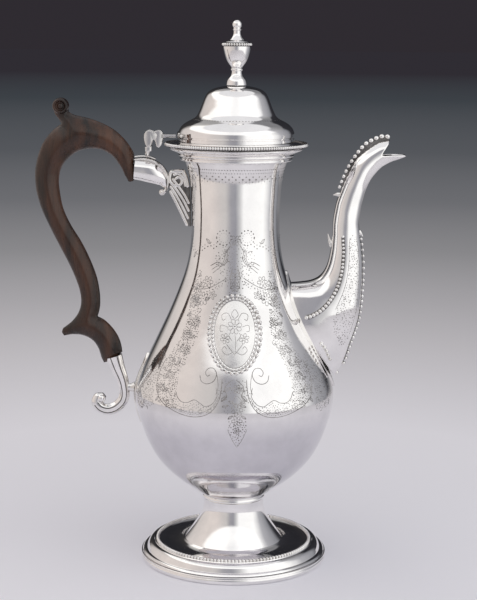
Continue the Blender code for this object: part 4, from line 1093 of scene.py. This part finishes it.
leaf = Parts()
for index in range(1, KNUCKLES, 2):
    knuckle(leaf, index, 1)
inner = HALF - PITCH
leaf.add(*slab([(PIN_X + 4.7, PIN_Z - 1.5), (PIN_X + 5.9, PIN_Z - 1.5), (PIN_X + 5.9, PIN_Z + 1.1),
                (PIN_X + 4.7, PIN_Z + 1.1)], inner, 0.25))
low, high = span("hinge_leaf")
leaf.add(*slab([(PIN_X + 5.6, PIN_Z - 1.1), (high.x, PIN_Z - 1.0), (high.x, PIN_Z + 0.7), (PIN_X + 5.6, PIN_Z + 0.7)],
               2.3, 0.25))
leaf.done("hinge_moving", CAST_SILVER, slot="silver", body="lid", nodes=["hinge_leaf"], angle=45)

pin = Parts()
pin.add(*turned_mesh([(0.0, -HALF), (0.75, -HALF + 0.02), (0.9, -HALF + 0.3), (0.9, HALF - 0.3), (0.75, HALF - 0.02),
                      (0.0, HALF)], steps=24))
pin.verts = [(PIN_X + x, z, PIN_Z + y) for x, y, z in pin.verts]
pin.done("hinge_wire", PIN_SILVER, nodes=["hinge_pin"], slot="pins")

low, high = span("lid_hinge_plate")
plate_verts = []
LID_BAND_R = 35.3
PLATE = curve([(-1.0, 0.0), (-0.86, 0.42), (-0.62, 0.34), (-0.45, 0.8), (-0.2, 1.0), (0.2, 1.0), (0.45, 0.8),
               (0.62, 0.34), (0.86, 0.42), (1.0, 0.0)], 6)
half_tall = (high.z - low.z) / 2
mid_z = (high.z + low.z) / 2
half_wide = (high.y - low.y) / 2
PLATE_ACROSS = 8
for layer, out in ((0, 0.05), (1, 1.1)):
    for t, h in PLATE:
        for j in range(PLATE_ACROSS + 1):
            v = 2 * j / PLATE_ACROSS - 1
            r = LID_BAND_R + (out if layer == 0 else out * (1 - 0.55 * v ** 4))
            y = half_wide * float(t)
            plate_verts.append((-math.sqrt(r * r - y * y), y, mid_z + half_tall * max(0.03, float(h)) * v))
piece("hinge_lid_leaf", plate_verts, leaf_faces(len(PLATE), PLATE_ACROSS), CAST_SILVER, body="lid",
      nodes=["lid_hinge_plate"])

# Engraving ---------------------------------------------------------------------------------------------------
def groove(points, wide=0.42, high=0.10, per=5, at=skin):
    """A bright-cut line: a low three-sided ridge along (phi, z) points."""
    line = smoothed(points, per)
    spots = [at(p[0], p[1]) for p in line]
    lifts = [at(p[0], p[1], 1.0) - s for p, s in zip(line, spots)]
    verts, faces = [], []
    for i, (p, up) in enumerate(zip(spots, lifts)):
        a, b = spots[max(i - 1, 0)], spots[min(i + 1, len(spots) - 1)]
        way = b - a
        side = np.cross(way, up)
        side /= np.linalg.norm(side) or 1.0
        taper = 0.35 if i in (0, len(spots) - 1) else 1.0
        verts += [p - side * wide / 2 * taper - up * 0.06, p + up * high * taper,
                  p + side * wide / 2 * taper - up * 0.06]
    for i in range(len(spots) - 1):
        for k in range(3):
            n = (k + 1) % 3
            faces.append((3 * i + k, 3 * i + n, 3 * i + 3 + n, 3 * i + 3 + k))
    last = 3 * (len(spots) - 1)
    faces += [(0, 2, 1), (last, last + 1, last + 2)]
    cuts.add(verts, faces)


def dot(phi, z, size=0.34, high=0.13, at=skin):
    """A punched dot, as a low six-sided cone."""
    centre = at(phi, z)
    up = at(phi, z, 1.0) - centre
    side = np.cross(up, (0.0, 0.0, 1.0))
    side /= np.linalg.norm(side)
    other = np.cross(up, side)
    ring = [centre + (side * math.cos(TAU * k / 6) + other * math.sin(TAU * k / 6)) * size - up * 0.05
            for k in range(6)]
    cuts.add(ring + [centre + up * high], [(k, (k + 1) % 6, 6) for k in range(6)] + [tuple(range(5, -1, -1))])


def degrees_for(mm, z):
    return math.degrees(mm / body_r(z))


def placed(phi, z, u, v, a):
    """The spot u, v millimetres from (phi, z), turned by a."""
    return phi + degrees_for(u * math.cos(a) - v * math.sin(a), z), z + u * math.sin(a) + v * math.cos(a)


def circle(phi, z, radius, wide=0.36, count=14):
    groove([(phi + degrees_for(radius * math.cos(TAU * k / count), z), z + radius * math.sin(TAU * k / count))
            for k in range(count + 1)], wide, per=2)


def flower(phi, z, radius, petals=6, turn=0.0):
    """A small rosette: looped petals round a dotted eye."""
    for k in range(petals):
        a = turn + TAU * k / petals
        loop = []
        for t, w in ((0.28, 0.0), (0.62, 0.26), (0.95, 0.2), (1.05, 0.0), (0.95, -0.2), (0.62, -0.26), (0.28, 0.0)):
            loop.append(placed(phi, z, radius * t, radius * w, a))
        groove(loop, 0.44, per=2)
    dot(phi, z, 0.6)


LEAF_BEND = 0.35


def leaf_mark(phi, z, length, heading):
    """A bright-cut leaf: two curved strokes and a vein."""
    a = math.radians(heading)
    for side in (-1, 0, 1):
        line = []
        for t in (0.0, 0.3, 0.65, 1.0):
            line.append(placed(phi, z, length * t, side * LEAF_BEND * length * math.sin(math.pi * t) * 0.5, a))
        groove(line, 0.48 if side else 0.36, per=3)


def scatter(outline, gap, tries, at=skin):
    """Spots spread over an area, none nearer than gap mm to another."""
    loop = np.array(outline, float)
    low, high = loop.min(0), loop.max(0)
    spots = np.array([[random.uniform(low[0], high[0]), random.uniform(low[1], high[1])] for _ in range(tries)])
    kept, out = [], []
    for u, v in spots[inside(spots, loop)]:
        here = np.array([math.radians(u) * body_r(v) if at is skin else u, v])
        if kept and np.linalg.norm(np.array(kept) - here, axis=1).min() < gap:
            continue
        kept.append(here)
        out.append((float(u), float(v)))
    return out


def fill(outline, gap, size, tries, at=skin):
    """An area matted with punched dots."""
    for u, v in scatter(outline, gap, tries, at):
        dot(u, v, size * random.uniform(0.75, 1.3), at=at)


def curls(outline, gap, radius, tries, at=skin, wide=0.46):
    """Small bright-cut tendrils spread over an area."""
    for u, v in scatter(outline, gap, tries, at):
        turn = random.uniform(0.0, TAU)
        r = radius * random.uniform(0.7, 1.2)
        per_mm = degrees_for(1.0, v) if at is skin else 1.0
        reaches = [r * (1 - 0.13 * k) for k in range(5)]
        groove([(u + per_mm * reach * math.cos(turn + 0.95 * k), v + reach * math.sin(turn + 0.95 * k))
                for k, reach in enumerate(reaches)], wide, per=2, at=at)


def dotted(points, pitch, size=0.3):
    line = curve(points, 10)
    gone = pitch
    for a, b in zip(line, line[1:]):
        step = np.linalg.norm(skin(*b) - skin(*a))
        gone += step
        if gone >= pitch:
            gone = 0.0
            dot(b[0], b[1], size)


def ornament(m, base):
    """One half of the chased design; m is -1 or 1 for its side, base the front or the back of the pot."""

    def f(phi):
        return base + m * phi

    def line(*points):
        """Points given as (degrees from this half's middle, height)."""
        return [(f(phi), z) for phi, z in points]

    # bow loops and the dotted swags hung from them
    for reach, size in ((4.6, 0.62), (2.9, 0.34)):
        across = degrees_for(reach, 207.7)
        dotted([(f(15.0 + across * math.cos(TAU * k / 12)), 207.7 + reach * math.sin(TAU * k / 12)) for k in range(13)],
               2.1 if size > 0.5 else 1.4, size)
    for lift, size in ((0.0, 0.6), (2.2, 0.42)):
        dotted(line((24, 202.4 + lift), (27, 200.8 + lift), (33, 202.4 + lift), (41, 200.6 + lift),
                    (48, 198.4 + lift), (57, 196.2 + lift), (68, 199.5 + lift), (79, 204.5 + lift), (90, 206.5)),
               2.3, size)
    leaf_mark(f(33), 203.6, 4.6, 90 - m * 50)
    leaf_mark(f(57), 198.0, 4.8, -90 + m * 30)
    # ribbon tails
    for drop, wide in ((0.0, 0.62), (2.2, 0.46), (4.2, 0.46)):
        groove(line((5 + drop, 204 - drop), (10 + drop, 199.5), (9 + drop, 195), (14 + drop, 191.4 - drop / 3),
                    (21, 193 - drop), (31 - drop, 190.4 - drop)), wide)
    for k in range(10):
        z = 204.0 - 3.0 * k
        groove([(f(1.5), z), (f(8.5 + 3.4 * math.sin(k * 1.3)), z - 2.6)], 0.42)
    fill(line((0, 206), (9, 205), (19, 201), (25, 196), (22, 189), (12, 183), (6, 174), (0, 172)), 1.45, 0.4, 700)
    curls(line((8, 202), (20, 200), (24, 193), (15, 186), (8, 178)), 3.4, 1.5, 160)
    # low swag with flowers
    groove(line((8, 184.4), (20, 180.0), (30, 177.2), (42, 176.4), (48, 179.8)), 0.5)
    dotted(line((9, 182.2), (21, 177.8), (31, 175.0), (42, 174.4)), 1.7, 0.46)
    fill(line((8, 186), (24, 181), (44, 178.5), (50, 182), (46, 172), (30, 172.6), (12, 179)), 1.5, 0.36, 420)
    for phi, z, size, petals in ((31, 181.0, 3.4, 6), (32.5, 171.0, 3.7, 7), (23, 173.6, 2.4, 5), (42, 171, 2.6, 6)):
        flower(f(phi), z, size, petals)
    leaf_mark(f(25), 172.0, 3.8, -90 + m * 70)
    leaf_mark(f(38), 171.6, 3.8, -90 + m * 20)
    # matted garland of flowers and leaves widening down to the scalloped border
    spine = line((45, 184.5), (43.5, 176), (40.5, 166.5), (37.5, 156), (37.5, 148), (39.5, 140),
                 (42.5, 132), (45.5, 124), (46, 116.5), (44, 110))
    garland = line((41, 187), (48, 187), (50, 178), (47, 166), (44, 156), (45, 147), (49, 139), (53, 131), (54, 120),
                   (51, 113), (44, 108), (37, 107.5), (35, 113), (36.5, 122), (36, 131), (32.5, 140), (30, 149),
                   (30, 157), (34, 167), (38, 177))
    fill(garland, 1.02, 0.42, 3200)
    curls(garland, 3.1, 1.5, 420)
    for k, (phi, z) in enumerate(spine[1:-1]):
        flower(phi + m * (3.2 if k % 2 else -3.2), z + 1.5, 2.9 - 0.05 * k, 5 + k % 3, k)
        leaf_mark(phi, z, 4.6, 90 + m * (65 if k % 2 else -80))
        leaf_mark(phi + m * 2.0, z - 3.5, 4.0, -90 + m * (40 if k % 2 else -50))
    outer = line((54, 136), (60, 139), (68, 133), (75, 122), (76, 110), (68, 104), (58, 103.5), (52, 107), (55, 118),
                 (55, 128))
    fill(outer, 1.12, 0.42, 1700)
    curls(outer, 3.8, 1.6, 160)
    # C scroll beside the cartouche's foot
    groove(line((22.0, 128.8), (20.4, 125.2), (16.6, 123.9), (12.6, 125.6), (11.2, 129.4), (13.2, 132.5),
                (16.6, 132.6), (18.4, 130.2), (17.0, 128.2), (15.2, 129.0)), 0.62)
    groove(line((11.4, 130.5), (10.2, 126.6), (9.6, 122.0), (10.6, 118.0)), 0.5)
    # scalloped border: outer edge, inner edge, and matting between
    outer_edge = line((7.4, 127), (7.6, 121), (8.6, 115), (11.6, 109.6), (16.6, 105.8), (23, 104.4),
                      (30, 105.0), (37, 107.0), (43.5, 109.6), (49.5, 114.0), (53.5, 120.5), (54, 128),
                      (52, 135))
    groove(outer_edge, 0.66)
    dotted([(p, z + 1.3) for p, z in outer_edge[1:-1]], 1.35, 0.34)
    groove([(p, z + 2.4) for p, z in outer_edge[2:-4]], 0.4)
    inner_edge = line((10.8, 122.4), (9.8, 117.4), (12.4, 112.8), (16.4, 111.2), (19.4, 112.8), (23, 114.4),
                      (26.6, 112.6), (30.6, 112.4), (34, 114.6), (36, 118.0))
    groove(inner_edge, 0.56)
    fill(line((8.8, 121), (9.4, 113), (14, 107.4), (23, 105.4), (32, 106.6), (38, 108.5), (36, 115), (31, 112),
              (26, 112), (23, 113.6), (19, 112), (16, 110.6), (12.6, 112.4), (10.2, 117)), 1.1, 0.36, 900)
    for k in range(6):
        circle(f(13.5 + 5.4 * k), 107.8 + 0.01 * (5.4 * k - 9) ** 2, 1.2, 0.42, count=8)
    # leaves under the cartouche
    for phi, z, size, lean in ((2, 122.5, 5.2, 60), (4, 118.0, 5.0, 45), (3, 112.5, 4.2, 75)):
        leaf_mark(f(phi), z, size, -90 + m * lean)
    groove(line((1, 126.8), (5.5, 122.6), (4.4, 117.4), (7.4, 114.4)), 0.5)
    fill(line((0, 127), (7, 126), (8, 114), (5, 108), (0, 106)), 1.5, 0.36, 320)


CARTOUCHE_Z = 152.2
OVAL_WIDE, OVAL_TALL = 11.9, 18.7


def oval(base, wide, tall, turn):
    """A point on an oval about the cartouche's centre, as (phi, z)."""
    z = CARTOUCHE_Z + tall * math.sin(turn)
    return base + degrees_for(wide * math.cos(turn), z), z


def oval_row(base, wide, tall, count):
    """Evenly spaced points round an oval, as (phi, z)."""
    fine = [(wide * math.cos(TAU * k / 240), tall * math.sin(TAU * k / 240)) for k in range(241)]
    gone = np.concatenate([[0.0], np.cumsum([math.dist(a, b) for a, b in zip(fine, fine[1:])])])
    at = np.arange(count) * gone[-1] / count
    return [(base + degrees_for(u, CARTOUCHE_Z + v), CARTOUCHE_Z + v)
            for u, v in zip(np.interp(at, gone, [p[0] for p in fine]), np.interp(at, gone, [p[1] for p in fine]))]


def plaque_skin(base):
    """The domed face of the plaque, as a skin to engrave on."""

    def at(phi, z, out=0.0):
        across = math.radians(phi - base) * body_r(z) / OVAL_WIDE
        share = min(1.0, math.hypot(across, (z - CARTOUCHE_Z) / OVAL_TALL))
        return skin(phi, z, out + 0.3 + 0.8 * (1.0 - share ** 2.5))

    return at


def cartouche(base, name):
    """A domed oval plaque inside two rows of soldered beads."""
    at = plaque_skin(base)
    steps, rings = 72, 12
    verts, faces = [], []
    for layer in (0, 1):
        top = len(verts)
        for j in range(rings + 1):
            share = j / rings
            for turn in ([0.0] if j == 0 else [TAU * k / steps for k in range(steps)]):
                phi, z = oval(base, OVAL_WIDE * share, OVAL_TALL * share, turn)
                verts.append(skin(phi, z, -0.2) if layer else at(phi, z))
        for k in range(steps):
            n = (k + 1) % steps
            faces.append((top, top + 1 + k, top + 1 + n))
            for j in range(rings - 1):
                low, high = top + 1 + j * steps, top + 1 + (j + 1) * steps
                faces.append((low + k, high + k, high + n, low + n))
    size = 1 + rings * steps
    rim = size - steps
    for k in range(steps):
        n = (k + 1) % steps
        faces.append((rim + k, size + rim + k, size + rim + n, rim + n))
    piece(f"plaque_{name}", verts, faces, PLAQUE_SILVER, slot="silver_trim", angle=40)
    frame_beads = Parts()
    for wide, tall, count, bead in ((15.9, 21.8, 38, 1.16), (13.4, 19.9, 50, 0.74)):
        for phi, z in oval_row(base, wide, tall, count):
            add_bead(frame_beads, skin(phi, z, bead * 0.55), (bead,) * 3)
        # dark dots between the beads: painted shade in the gaps
        for k, (phi, z) in enumerate(oval_row(base, wide + 0.4, tall + 0.4, 2 * count)):
            if k % 2:
                dot(phi, z, bead * 0.6, 0.12)
    frame_beads.done(f"plaque_beads_{name}", BEAD_SILVER, angle=60)


def middle_work(base):
    """Knot above the cartouche, the flower spray on its plaque, and the drop below."""
    for z, size in ((206.2, 2.2), (184.0, 2.4), (178.6, 1.8)):
        flower(base, z, size + 0.8, 6)
    for k in range(7):
        groove([(base - 3.4, 187.6 - 1.9 * k), (base + 3.4, 187.0 - 1.9 * k)], 0.42)
    for side in (-1, 1):
        groove([(base + side * 3.0, 190), (base + side * 5.4, 184), (base + side * 3.4, 176.5)], 0.5)
    # rings round the plaque
    for wide, tall, stroke in ((12.4, 19.1, 0.5), (14.5, 20.8, 0.46)):
        groove([oval(base, wide, tall, TAU * k / 48) for k in range(49)], stroke, per=2)
    # flower spray on the plaque
    at = plaque_skin(base)

    def spray(points, wide=0.5):
        groove([(base + degrees_for(u, CARTOUCHE_Z + v), CARTOUCHE_Z + v) for u, v in points], wide, 0.07, at=at)

    def rosette(u, v, radius, petals):
        for k in range(petals):
            a = TAU * k / petals + 0.3
            spray([(u + radius * t * math.cos(a) - radius * w * math.sin(a), v + radius * t * math.sin(a)
                    + radius * w * math.cos(a)) for t, w in ((0.25, 0), (0.6, 0.28), (1.0, 0.16), (1.0, -0.16),
                                                             (0.6, -0.28),
                                                             (0.25, 0))], 0.42)
        dot(base + degrees_for(u, CARTOUCHE_Z + v), CARTOUCHE_Z + v, 0.6, at=at)

    rosette(0.0, 4.2, 4.0, 8)
    spray([(0, 0.4), (0.7, -5.0), (0.0, -12.6)])
    for side in (-1, 1):
        rosette(side * 5.6, -2.6, 2.8, 6)
        spray([(0.0, -11.4), (side * 2.6, -8.4), (side * 5.0, -5.4)])
        spray([(0.0, -9.4), (side * 4.4, -11.6), (side * 7.4, -9.4), (side * 6.0, -7.0), (side * 4.6, -8.4)])
        spray([(side * 1.6, 7.4), (side * 4.2, 11.6), (side * 7.6, 10.6), (side * 7.2, 7.6), (side * 5.4, 8.4)])
        spray([(side * 3.8, 3.8), (side * 8.0, 4.8), (side * 8.6, 1.6), (side * 6.8, 1.4)])
        spray([(0.0, 8.4), (side * 2.0, 11.0), (0.0, 14.2)])
        spray([(side * 1.4, -4.0), (side * 3.4, -1.0), (side * 2.4, 0.8)])
    # drop of flowers under the cartouche
    for z, size, petals in ((121.5, 2.6, 6), (109.8, 3.4, 7), (103.2, 3.0, 6), (97.0, 2.2, 5)):
        flower(base + 1.6, z, size, petals)
    fill([(base + 1.8 + u, z) for u, z in ((-4.6, 103), (-5.2, 97), (-2.6, 91), (0, 86.5), (2.6, 91), (5.2, 97),
                                           (4.6, 103))],
         1.15, 0.42, 500)
    for side in (-1, 1):
        leaf_mark(base + 1.6 + side * 2.2, 106.5, 3.8, -90 + side * 55)
        leaf_mark(base + 1.6 + side * 1.8, 113.2, 3.8, 90 - side * 60)
        groove([(base + 1.6, 118), (base + 1.6 + side * 2.4, 115.0), (base + 1.6, 112.4)], 0.44)
        groove([(base + 1.8 + side * 5.4, 98.0), (base + 1.8 + side * 3.0, 91.5), (base + 1.8, 86.0)], 0.4)


# The body's engraving takes the dark engraving silver: painted shade in its cuts.
for base, name in ((0.0, "front"), (180.0, "back")):
    cuts = Parts()
    middle_work(base)
    cartouche(base, name)
    for m in (-1, 1):
        ornament(m, base)
    cuts.done(f"body_engraving_{name}", SHADED_CUT_SILVER, angle=20)
# dotted bands round the neck, under the lip
cuts = Parts()
NECK_DOTS, NECK_DROPS, LID_DOTS, DISH_SPRIGS = 112, 44, 88, 96
for k in range(NECK_DOTS):
    dot(360.0 * k / NECK_DOTS, 248.8, 0.5)
    dot(360.0 * (k + 0.5) / NECK_DOTS, 246.8, 0.4)
for k in range(NECK_DROPS):
    phi = 360.0 * k / NECK_DROPS
    dot(phi, 243.2, 0.72)
    groove([(phi, 242.4), (phi, 240.2)], 0.5, 0.12)
    dot(phi + 180.0 / NECK_DROPS, 244.8, 0.6)
    dot(phi + 180.0 / NECK_DROPS, 241.6, 0.45)
# The neck's dots take the dark engraving silver: painted shade.
cuts.done("neck_engraving", SHADED_CUT_SILVER, angle=20)

# matted panel of leaves on each side of the spout
cuts = Parts()


def near_side(x, z, out=0.0):
    i, angle = on_side(x, z)
    return spout_at(i, angle, out)


def far_side(x, z, out=0.0):
    return near_side(x, z, out) * np.array([1, -1, 1])


PANEL = [(70.4, 208.0), (74.2, 208.0), (75.6, 198.0), (76.4, 186.0), (76.2, 172.0), (75.0, 160.0), (72.6, 149.0),
         (69.2, 139.5), (65.4, 138.5), (61.6, 146.0), (60.4, 154.0), (62.4, 162.0), (66.0, 170.0), (68.8, 180.0),
         (69.8, 192.0), (69.8, 201.0)]
for place in (near_side, far_side):
    fill(PANEL, 1.25, 0.36, 1300, at=place)
    curls(PANEL, 3.0, 1.3, 220, at=place, wide=0.36)
    groove([(70.2, 206.0), (70.0, 197.0), (69.6, 187.0), (68.0, 177.6), (65.4, 170.0), (61.8, 162.0)], 0.4, at=place)
    groove([(74.4, 207.0), (75.8, 197.0), (76.5, 186.0), (76.2, 172.0), (74.8, 159.0), (71.6, 147.0)], 0.4, at=place)
# The spout's engraving takes the dark engraving silver: painted shade.
cuts.done("spout_engraving", SHADED_CUT_SILVER, angle=20)

# dotted ring on the lid's sweep
cuts = Parts()
LID_LINE = sorted((z, r) for r, z in shell_outer if z > 268.0)


def on_lid(phi, z, out=0.0):
    r = float(np.interp(z, [row[0] for row in LID_LINE], [row[1] for row in LID_LINE])) + out * 0.5
    a = math.radians(phi)
    return np.array([r * math.sin(a), -r * math.cos(a), z + out * 0.87])


for k in range(LID_DOTS):
    dot(360.0 * k / LID_DOTS, 277.6, 0.62, 0.14, at=on_lid)
# The lid's dots take the dark engraving silver: painted shade.
cuts.done("lid_engraving", SHADED_CUT_SILVER, body="lid", angle=20)

# bright-cut sprigs round the foot dish
cuts = Parts()


def on_dish(phi, r, out=0.0):
    line = [(a, b) for a, b in dish_outer if a < 46.4]
    z = np.interp(r, [a for a, _ in line], [b for _, b in line])
    a = math.radians(phi)
    return np.array([r * math.sin(a), -r * math.cos(a), z + out])


for k in range(DISH_SPRIGS):
    phi = 360.0 * k / DISH_SPRIGS
    groove([(phi - 0.9, 43.8), (phi, 45.6), (phi + 0.9, 43.8)], 0.44, 0.14, at=on_dish)
    dot(phi + 1.8, 44.6, 0.56, 0.3, at=on_dish)
    dot(phi, 42.4, 0.62, 0.34, at=on_dish)
    dot(phi + 1.8, 41.2, 0.5, 0.3, at=on_dish)
    dot(phi, 39.8, 0.44, 0.26, at=on_dish)
cuts.done("foot_engraving", PLAQUE_SILVER, angle=20)

# Pieces of the frame that keep their own mesh
for node in ("upper_handle_pin", "lower_handle_pin", "finial_stud", "finial_washer", "finial_nut"):
    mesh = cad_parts[node].data
    mesh.materials.clear()
    mesh.materials.append(PIN_SILVER)

# Stage -------------------------------------------------------------------------------------------------------
# The floor darkens with distance from the pot, painted shade standing in for the studio light's falloff, and glows with
# painted light of its own: (metres from the pot, share of the light it scatters, painted glow)
FLOOR_STOPS = [(0.0, 0.78, (0.10, 0.098, 0.118)), (0.35, 0.76, (0.13, 0.122, 0.135)),
               (0.7, 0.40, (0.24, 0.228, 0.238)), (1.0, 0.16, (0.285, 0.275, 0.288)),
               (1.45, 0.05, (0.225, 0.222, 0.232)),
               (2.2, 0.0, (0.150, 0.152, 0.164)), (3.6, 0.0, (0.090, 0.095, 0.106)), (7.5, 0.0, (0.046, 0.053, 0.062)),
               (14.0, 0.0, (0.029, 0.026, 0.033))]
FLOOR_REACH = 15.0
FLOOR_TINT = (0.97, 0.96, 1.0)


def stops(tree, fac, rows):
    node = tree.nodes.new("ShaderNodeValToRGB")
    elements = node.color_ramp.elements
    elements[0].position, elements[0].color = rows[0][0] / FLOOR_REACH, (*rows[0][1], 1)
    elements[1].position, elements[1].color = rows[-1][0] / FLOOR_REACH, (*rows[-1][1], 1)
    for at, color in rows[1:-1]:
        elements.new(at / FLOOR_REACH).color = (*color, 1)
    tree.links.new(fac, node.inputs["Fac"])
    return node.outputs["Color"]


def floor_material():
    mat, tree, shader, coords = new_material("sweep")
    length = tree.nodes.new("ShaderNodeVectorMath")
    length.operation = "LENGTH"
    tree.links.new(coords, length.inputs[0])
    far = ramp(tree, length.outputs["Value"], 0.0, 1.0, (0.0, FLOOR_REACH))
    # Painted shade: the share of light the floor scatters falls away with distance from the pot
    scatter = [(at, tuple(share * t for t in FLOOR_TINT)) for at, share, _ in FLOOR_STOPS]
    tree.links.new(stops(tree, far, scatter), shader.inputs["Base Color"])
    # Painted light: the floor's emission glow stands in for the studio light falling on it
    tree.links.new(stops(tree, far, [(at, painted_glow) for at, _, painted_glow in FLOOR_STOPS]), shader.inputs["Emission Color"])
    shader.inputs["Emission Strength"].default_value = 1.0
    shader.inputs["Roughness"].default_value = 0.8
    shader.inputs["Specular IOR Level"].default_value = 0.0
    return mat


def stage_object(name, bm, material):
    mesh = bpy.data.meshes.new(name)
    bm.to_mesh(mesh)
    bm.free()
    mesh.materials.append(material)
    obj = bpy.data.objects.new(name, mesh)
    obj.location = (AXIS.x, 0.0, AXIS.z)
    bpy.context.scene.collection.objects.link(obj)
    return obj


bm = bmesh.new()
bmesh.ops.create_circle(bm, cap_ends=True, segments=96, radius=40.0)
floor = stage_object("floor", bm, floor_material())
floor.location.z -= 0.0002

# A round light tent: what each bearing from the front (degrees, + towards the spout) gives low down and high up
TENT = [(-180, (0.02, 0.02, 0.024), (0.20, 0.20, 0.21)), (-152, (0.04, 0.038, 0.038), (0.40, 0.39, 0.38)),
        (-138, (0.62, 0.58, 0.56), (1.02, 1.0, 0.97)), (-95, (0.76, 0.695, 0.66), (1.02, 1.0, 0.97)),
        (-62, (0.74, 0.675, 0.645), (1.0, 0.98, 0.96)), (-42, (0.64, 0.60, 0.585), (1.0, 0.98, 0.97)),
        (-26, (0.60, 0.575, 0.565), (1.0, 0.99, 0.98)), (-12, (0.36, 0.355, 0.385), (0.90, 0.90, 0.90)),
        (0, (0.33, 0.33, 0.365), (0.90, 0.90, 0.90)), (10, (0.62, 0.62, 0.63), (0.95, 0.95, 0.95)),
        (20, (1.06, 1.06, 1.06), (1.02, 1.02, 1.02)), (74, (1.12, 1.12, 1.11), (1.05, 1.05, 1.05)),
        (88, (0.80, 0.80, 0.81), (0.90, 0.90, 0.91)), (100, (0.44, 0.44, 0.47), (0.40, 0.40, 0.42)),
        (128, (0.26, 0.265, 0.29), (0.24, 0.24, 0.25)), (142, (0.03, 0.03, 0.036), (0.18, 0.18, 0.19)),
        (180, (0.02, 0.02, 0.024), (0.20, 0.20, 0.21))]
NEAR_WALL, FAR_WALL, CROWN, EYE = 0.72, 6.0, 2.2, 0.17
CEILING = (0.84, 0.84, 0.86)
OVERHEAD = 1.18
# Bearing where the wall starts to open and the span it takes; rises where the upper wall and the ceiling blend in
OPENS, OPENING = 125.0, 25.0
UPPER_WALL, ROOF, BLEND = 32.0, 52.0, 4.0


def tent_reach(bearing, rise):
    """Distance of the tent's wall, which opens wide behind the pot where the backdrop is dark."""
    back = min(1.0, max(0.0, (abs(bearing) - OPENS) / OPENING))
    wall = NEAR_WALL + (FAR_WALL - NEAR_WALL) * back * back
    up = max(0.0, rise) / 90.0
    return wall * (1 - up) + CROWN * up


def tent_light(bearing, rise):
    """Light from the tent at a bearing and a rise in degrees above the pot's middle."""
    bearings = [row[0] for row in TENT]
    low = np.array([np.interp(bearing, bearings, [row[1][i] for row in TENT]) for i in range(3)])
    high = np.array([np.interp(bearing, bearings, [row[2][i] for row in TENT]) for i in range(3)])
    high = high * OVERHEAD
    up = min(1.0, max(0.0, (rise - UPPER_WALL) / BLEND))
    top = min(1.0, max(0.0, (rise - ROOF) / BLEND))
    return (low * (1 - up) + high * up) * (1 - top) + np.array(CEILING) * top


def tent_material():
    mat = bpy.data.materials.new("light_tent")
    mat.use_nodes = True
    tree = mat.node_tree
    tree.nodes.clear()
    color = tree.nodes.new("ShaderNodeAttribute")
    color.attribute_name = "light"
    emission = tree.nodes.new("ShaderNodeEmission")
    output = tree.nodes.new("ShaderNodeOutputMaterial")
    tree.links.new(color.outputs["Color"], emission.inputs["Color"])
    tree.links.new(emission.outputs["Emission"], output.inputs["Surface"])
    return mat


bm = bmesh.new()
rises = [-14, -10, -5, 0, 4, 7, 10, 14, 18, 22, 26, 29, 31, 32, 33, 34, 35, 36, 40, 44, 48, 51, 52, 53, 54, 55, 56, 60,
         66, 72, 80, 90]
columns = 144
grid = []
for rise in rises:
    row = []
    for k in range(columns):
        bearing = -180 + 360 * k / columns
        a, t = math.radians(bearing), math.radians(rise)
        reach = tent_reach(bearing, rise)
        out = reach * math.cos(t)
        row.append(bm.verts.new((out * math.sin(a), -out * math.cos(a), EYE + reach * math.sin(t))))
    grid.append(row)
for a, b in zip(grid, grid[1:-1]):
    for k in range(columns):
        n = (k + 1) % columns
        bm.faces.new((a[k], a[n], b[n], b[k]))
crown = bm.verts.new((0.0, 0.0, EYE + CROWN))
for k in range(columns):
    bm.faces.new((grid[-2][k], grid[-2][(k + 1) % columns], crown))
    bm.verts.remove(grid[-1][k])
tent = stage_object("light_tent", bm, tent_material())
colors = tent.data.color_attributes.new("light", "FLOAT_COLOR", "POINT")
for vert, item in zip(tent.data.vertices, colors.data):
    x, y, z = vert.co
    item.color = (*tent_light(math.degrees(math.atan2(x, -y)), math.degrees(math.atan2(z - EYE, math.hypot(x, y)))), 1)
tent.visible_camera = False

world = bpy.data.worlds.new("studio")
bpy.context.scene.world = world
world.use_nodes = True
background = world.node_tree.nodes["Background"]
background.inputs["Color"].default_value = (0.029, 0.025, 0.031, 1)
background.inputs["Strength"].default_value = 1.0

# Camera: the view of the engraved side, from a little above the lip
CAMERA_BACK, CAMERA_UP, CAMERA_RIGHT = 0.943, 0.3265, 0.0021
TILT, ROLL, FOCAL = 9.7, 0.45, 91.9
data = bpy.data.cameras.new("camera")
data.lens = FOCAL
data.sensor_width = 36.0
data.clip_start = 0.02
camera = bpy.data.objects.new("camera", data)
camera.location = AXIS + Vector((CAMERA_RIGHT, -CAMERA_BACK, CAMERA_UP))
camera.rotation_mode = "QUATERNION"
camera.rotation_quaternion = (Matrix.Rotation(math.radians(90.0 - TILT), 3, "X")
                              @ Matrix.Rotation(math.radians(ROLL), 3, "Z")).to_quaternion()
bpy.context.scene.collection.objects.link(camera)
bpy.context.scene.camera = camera
bpy.context.scene.view_settings.view_transform = "Standard"
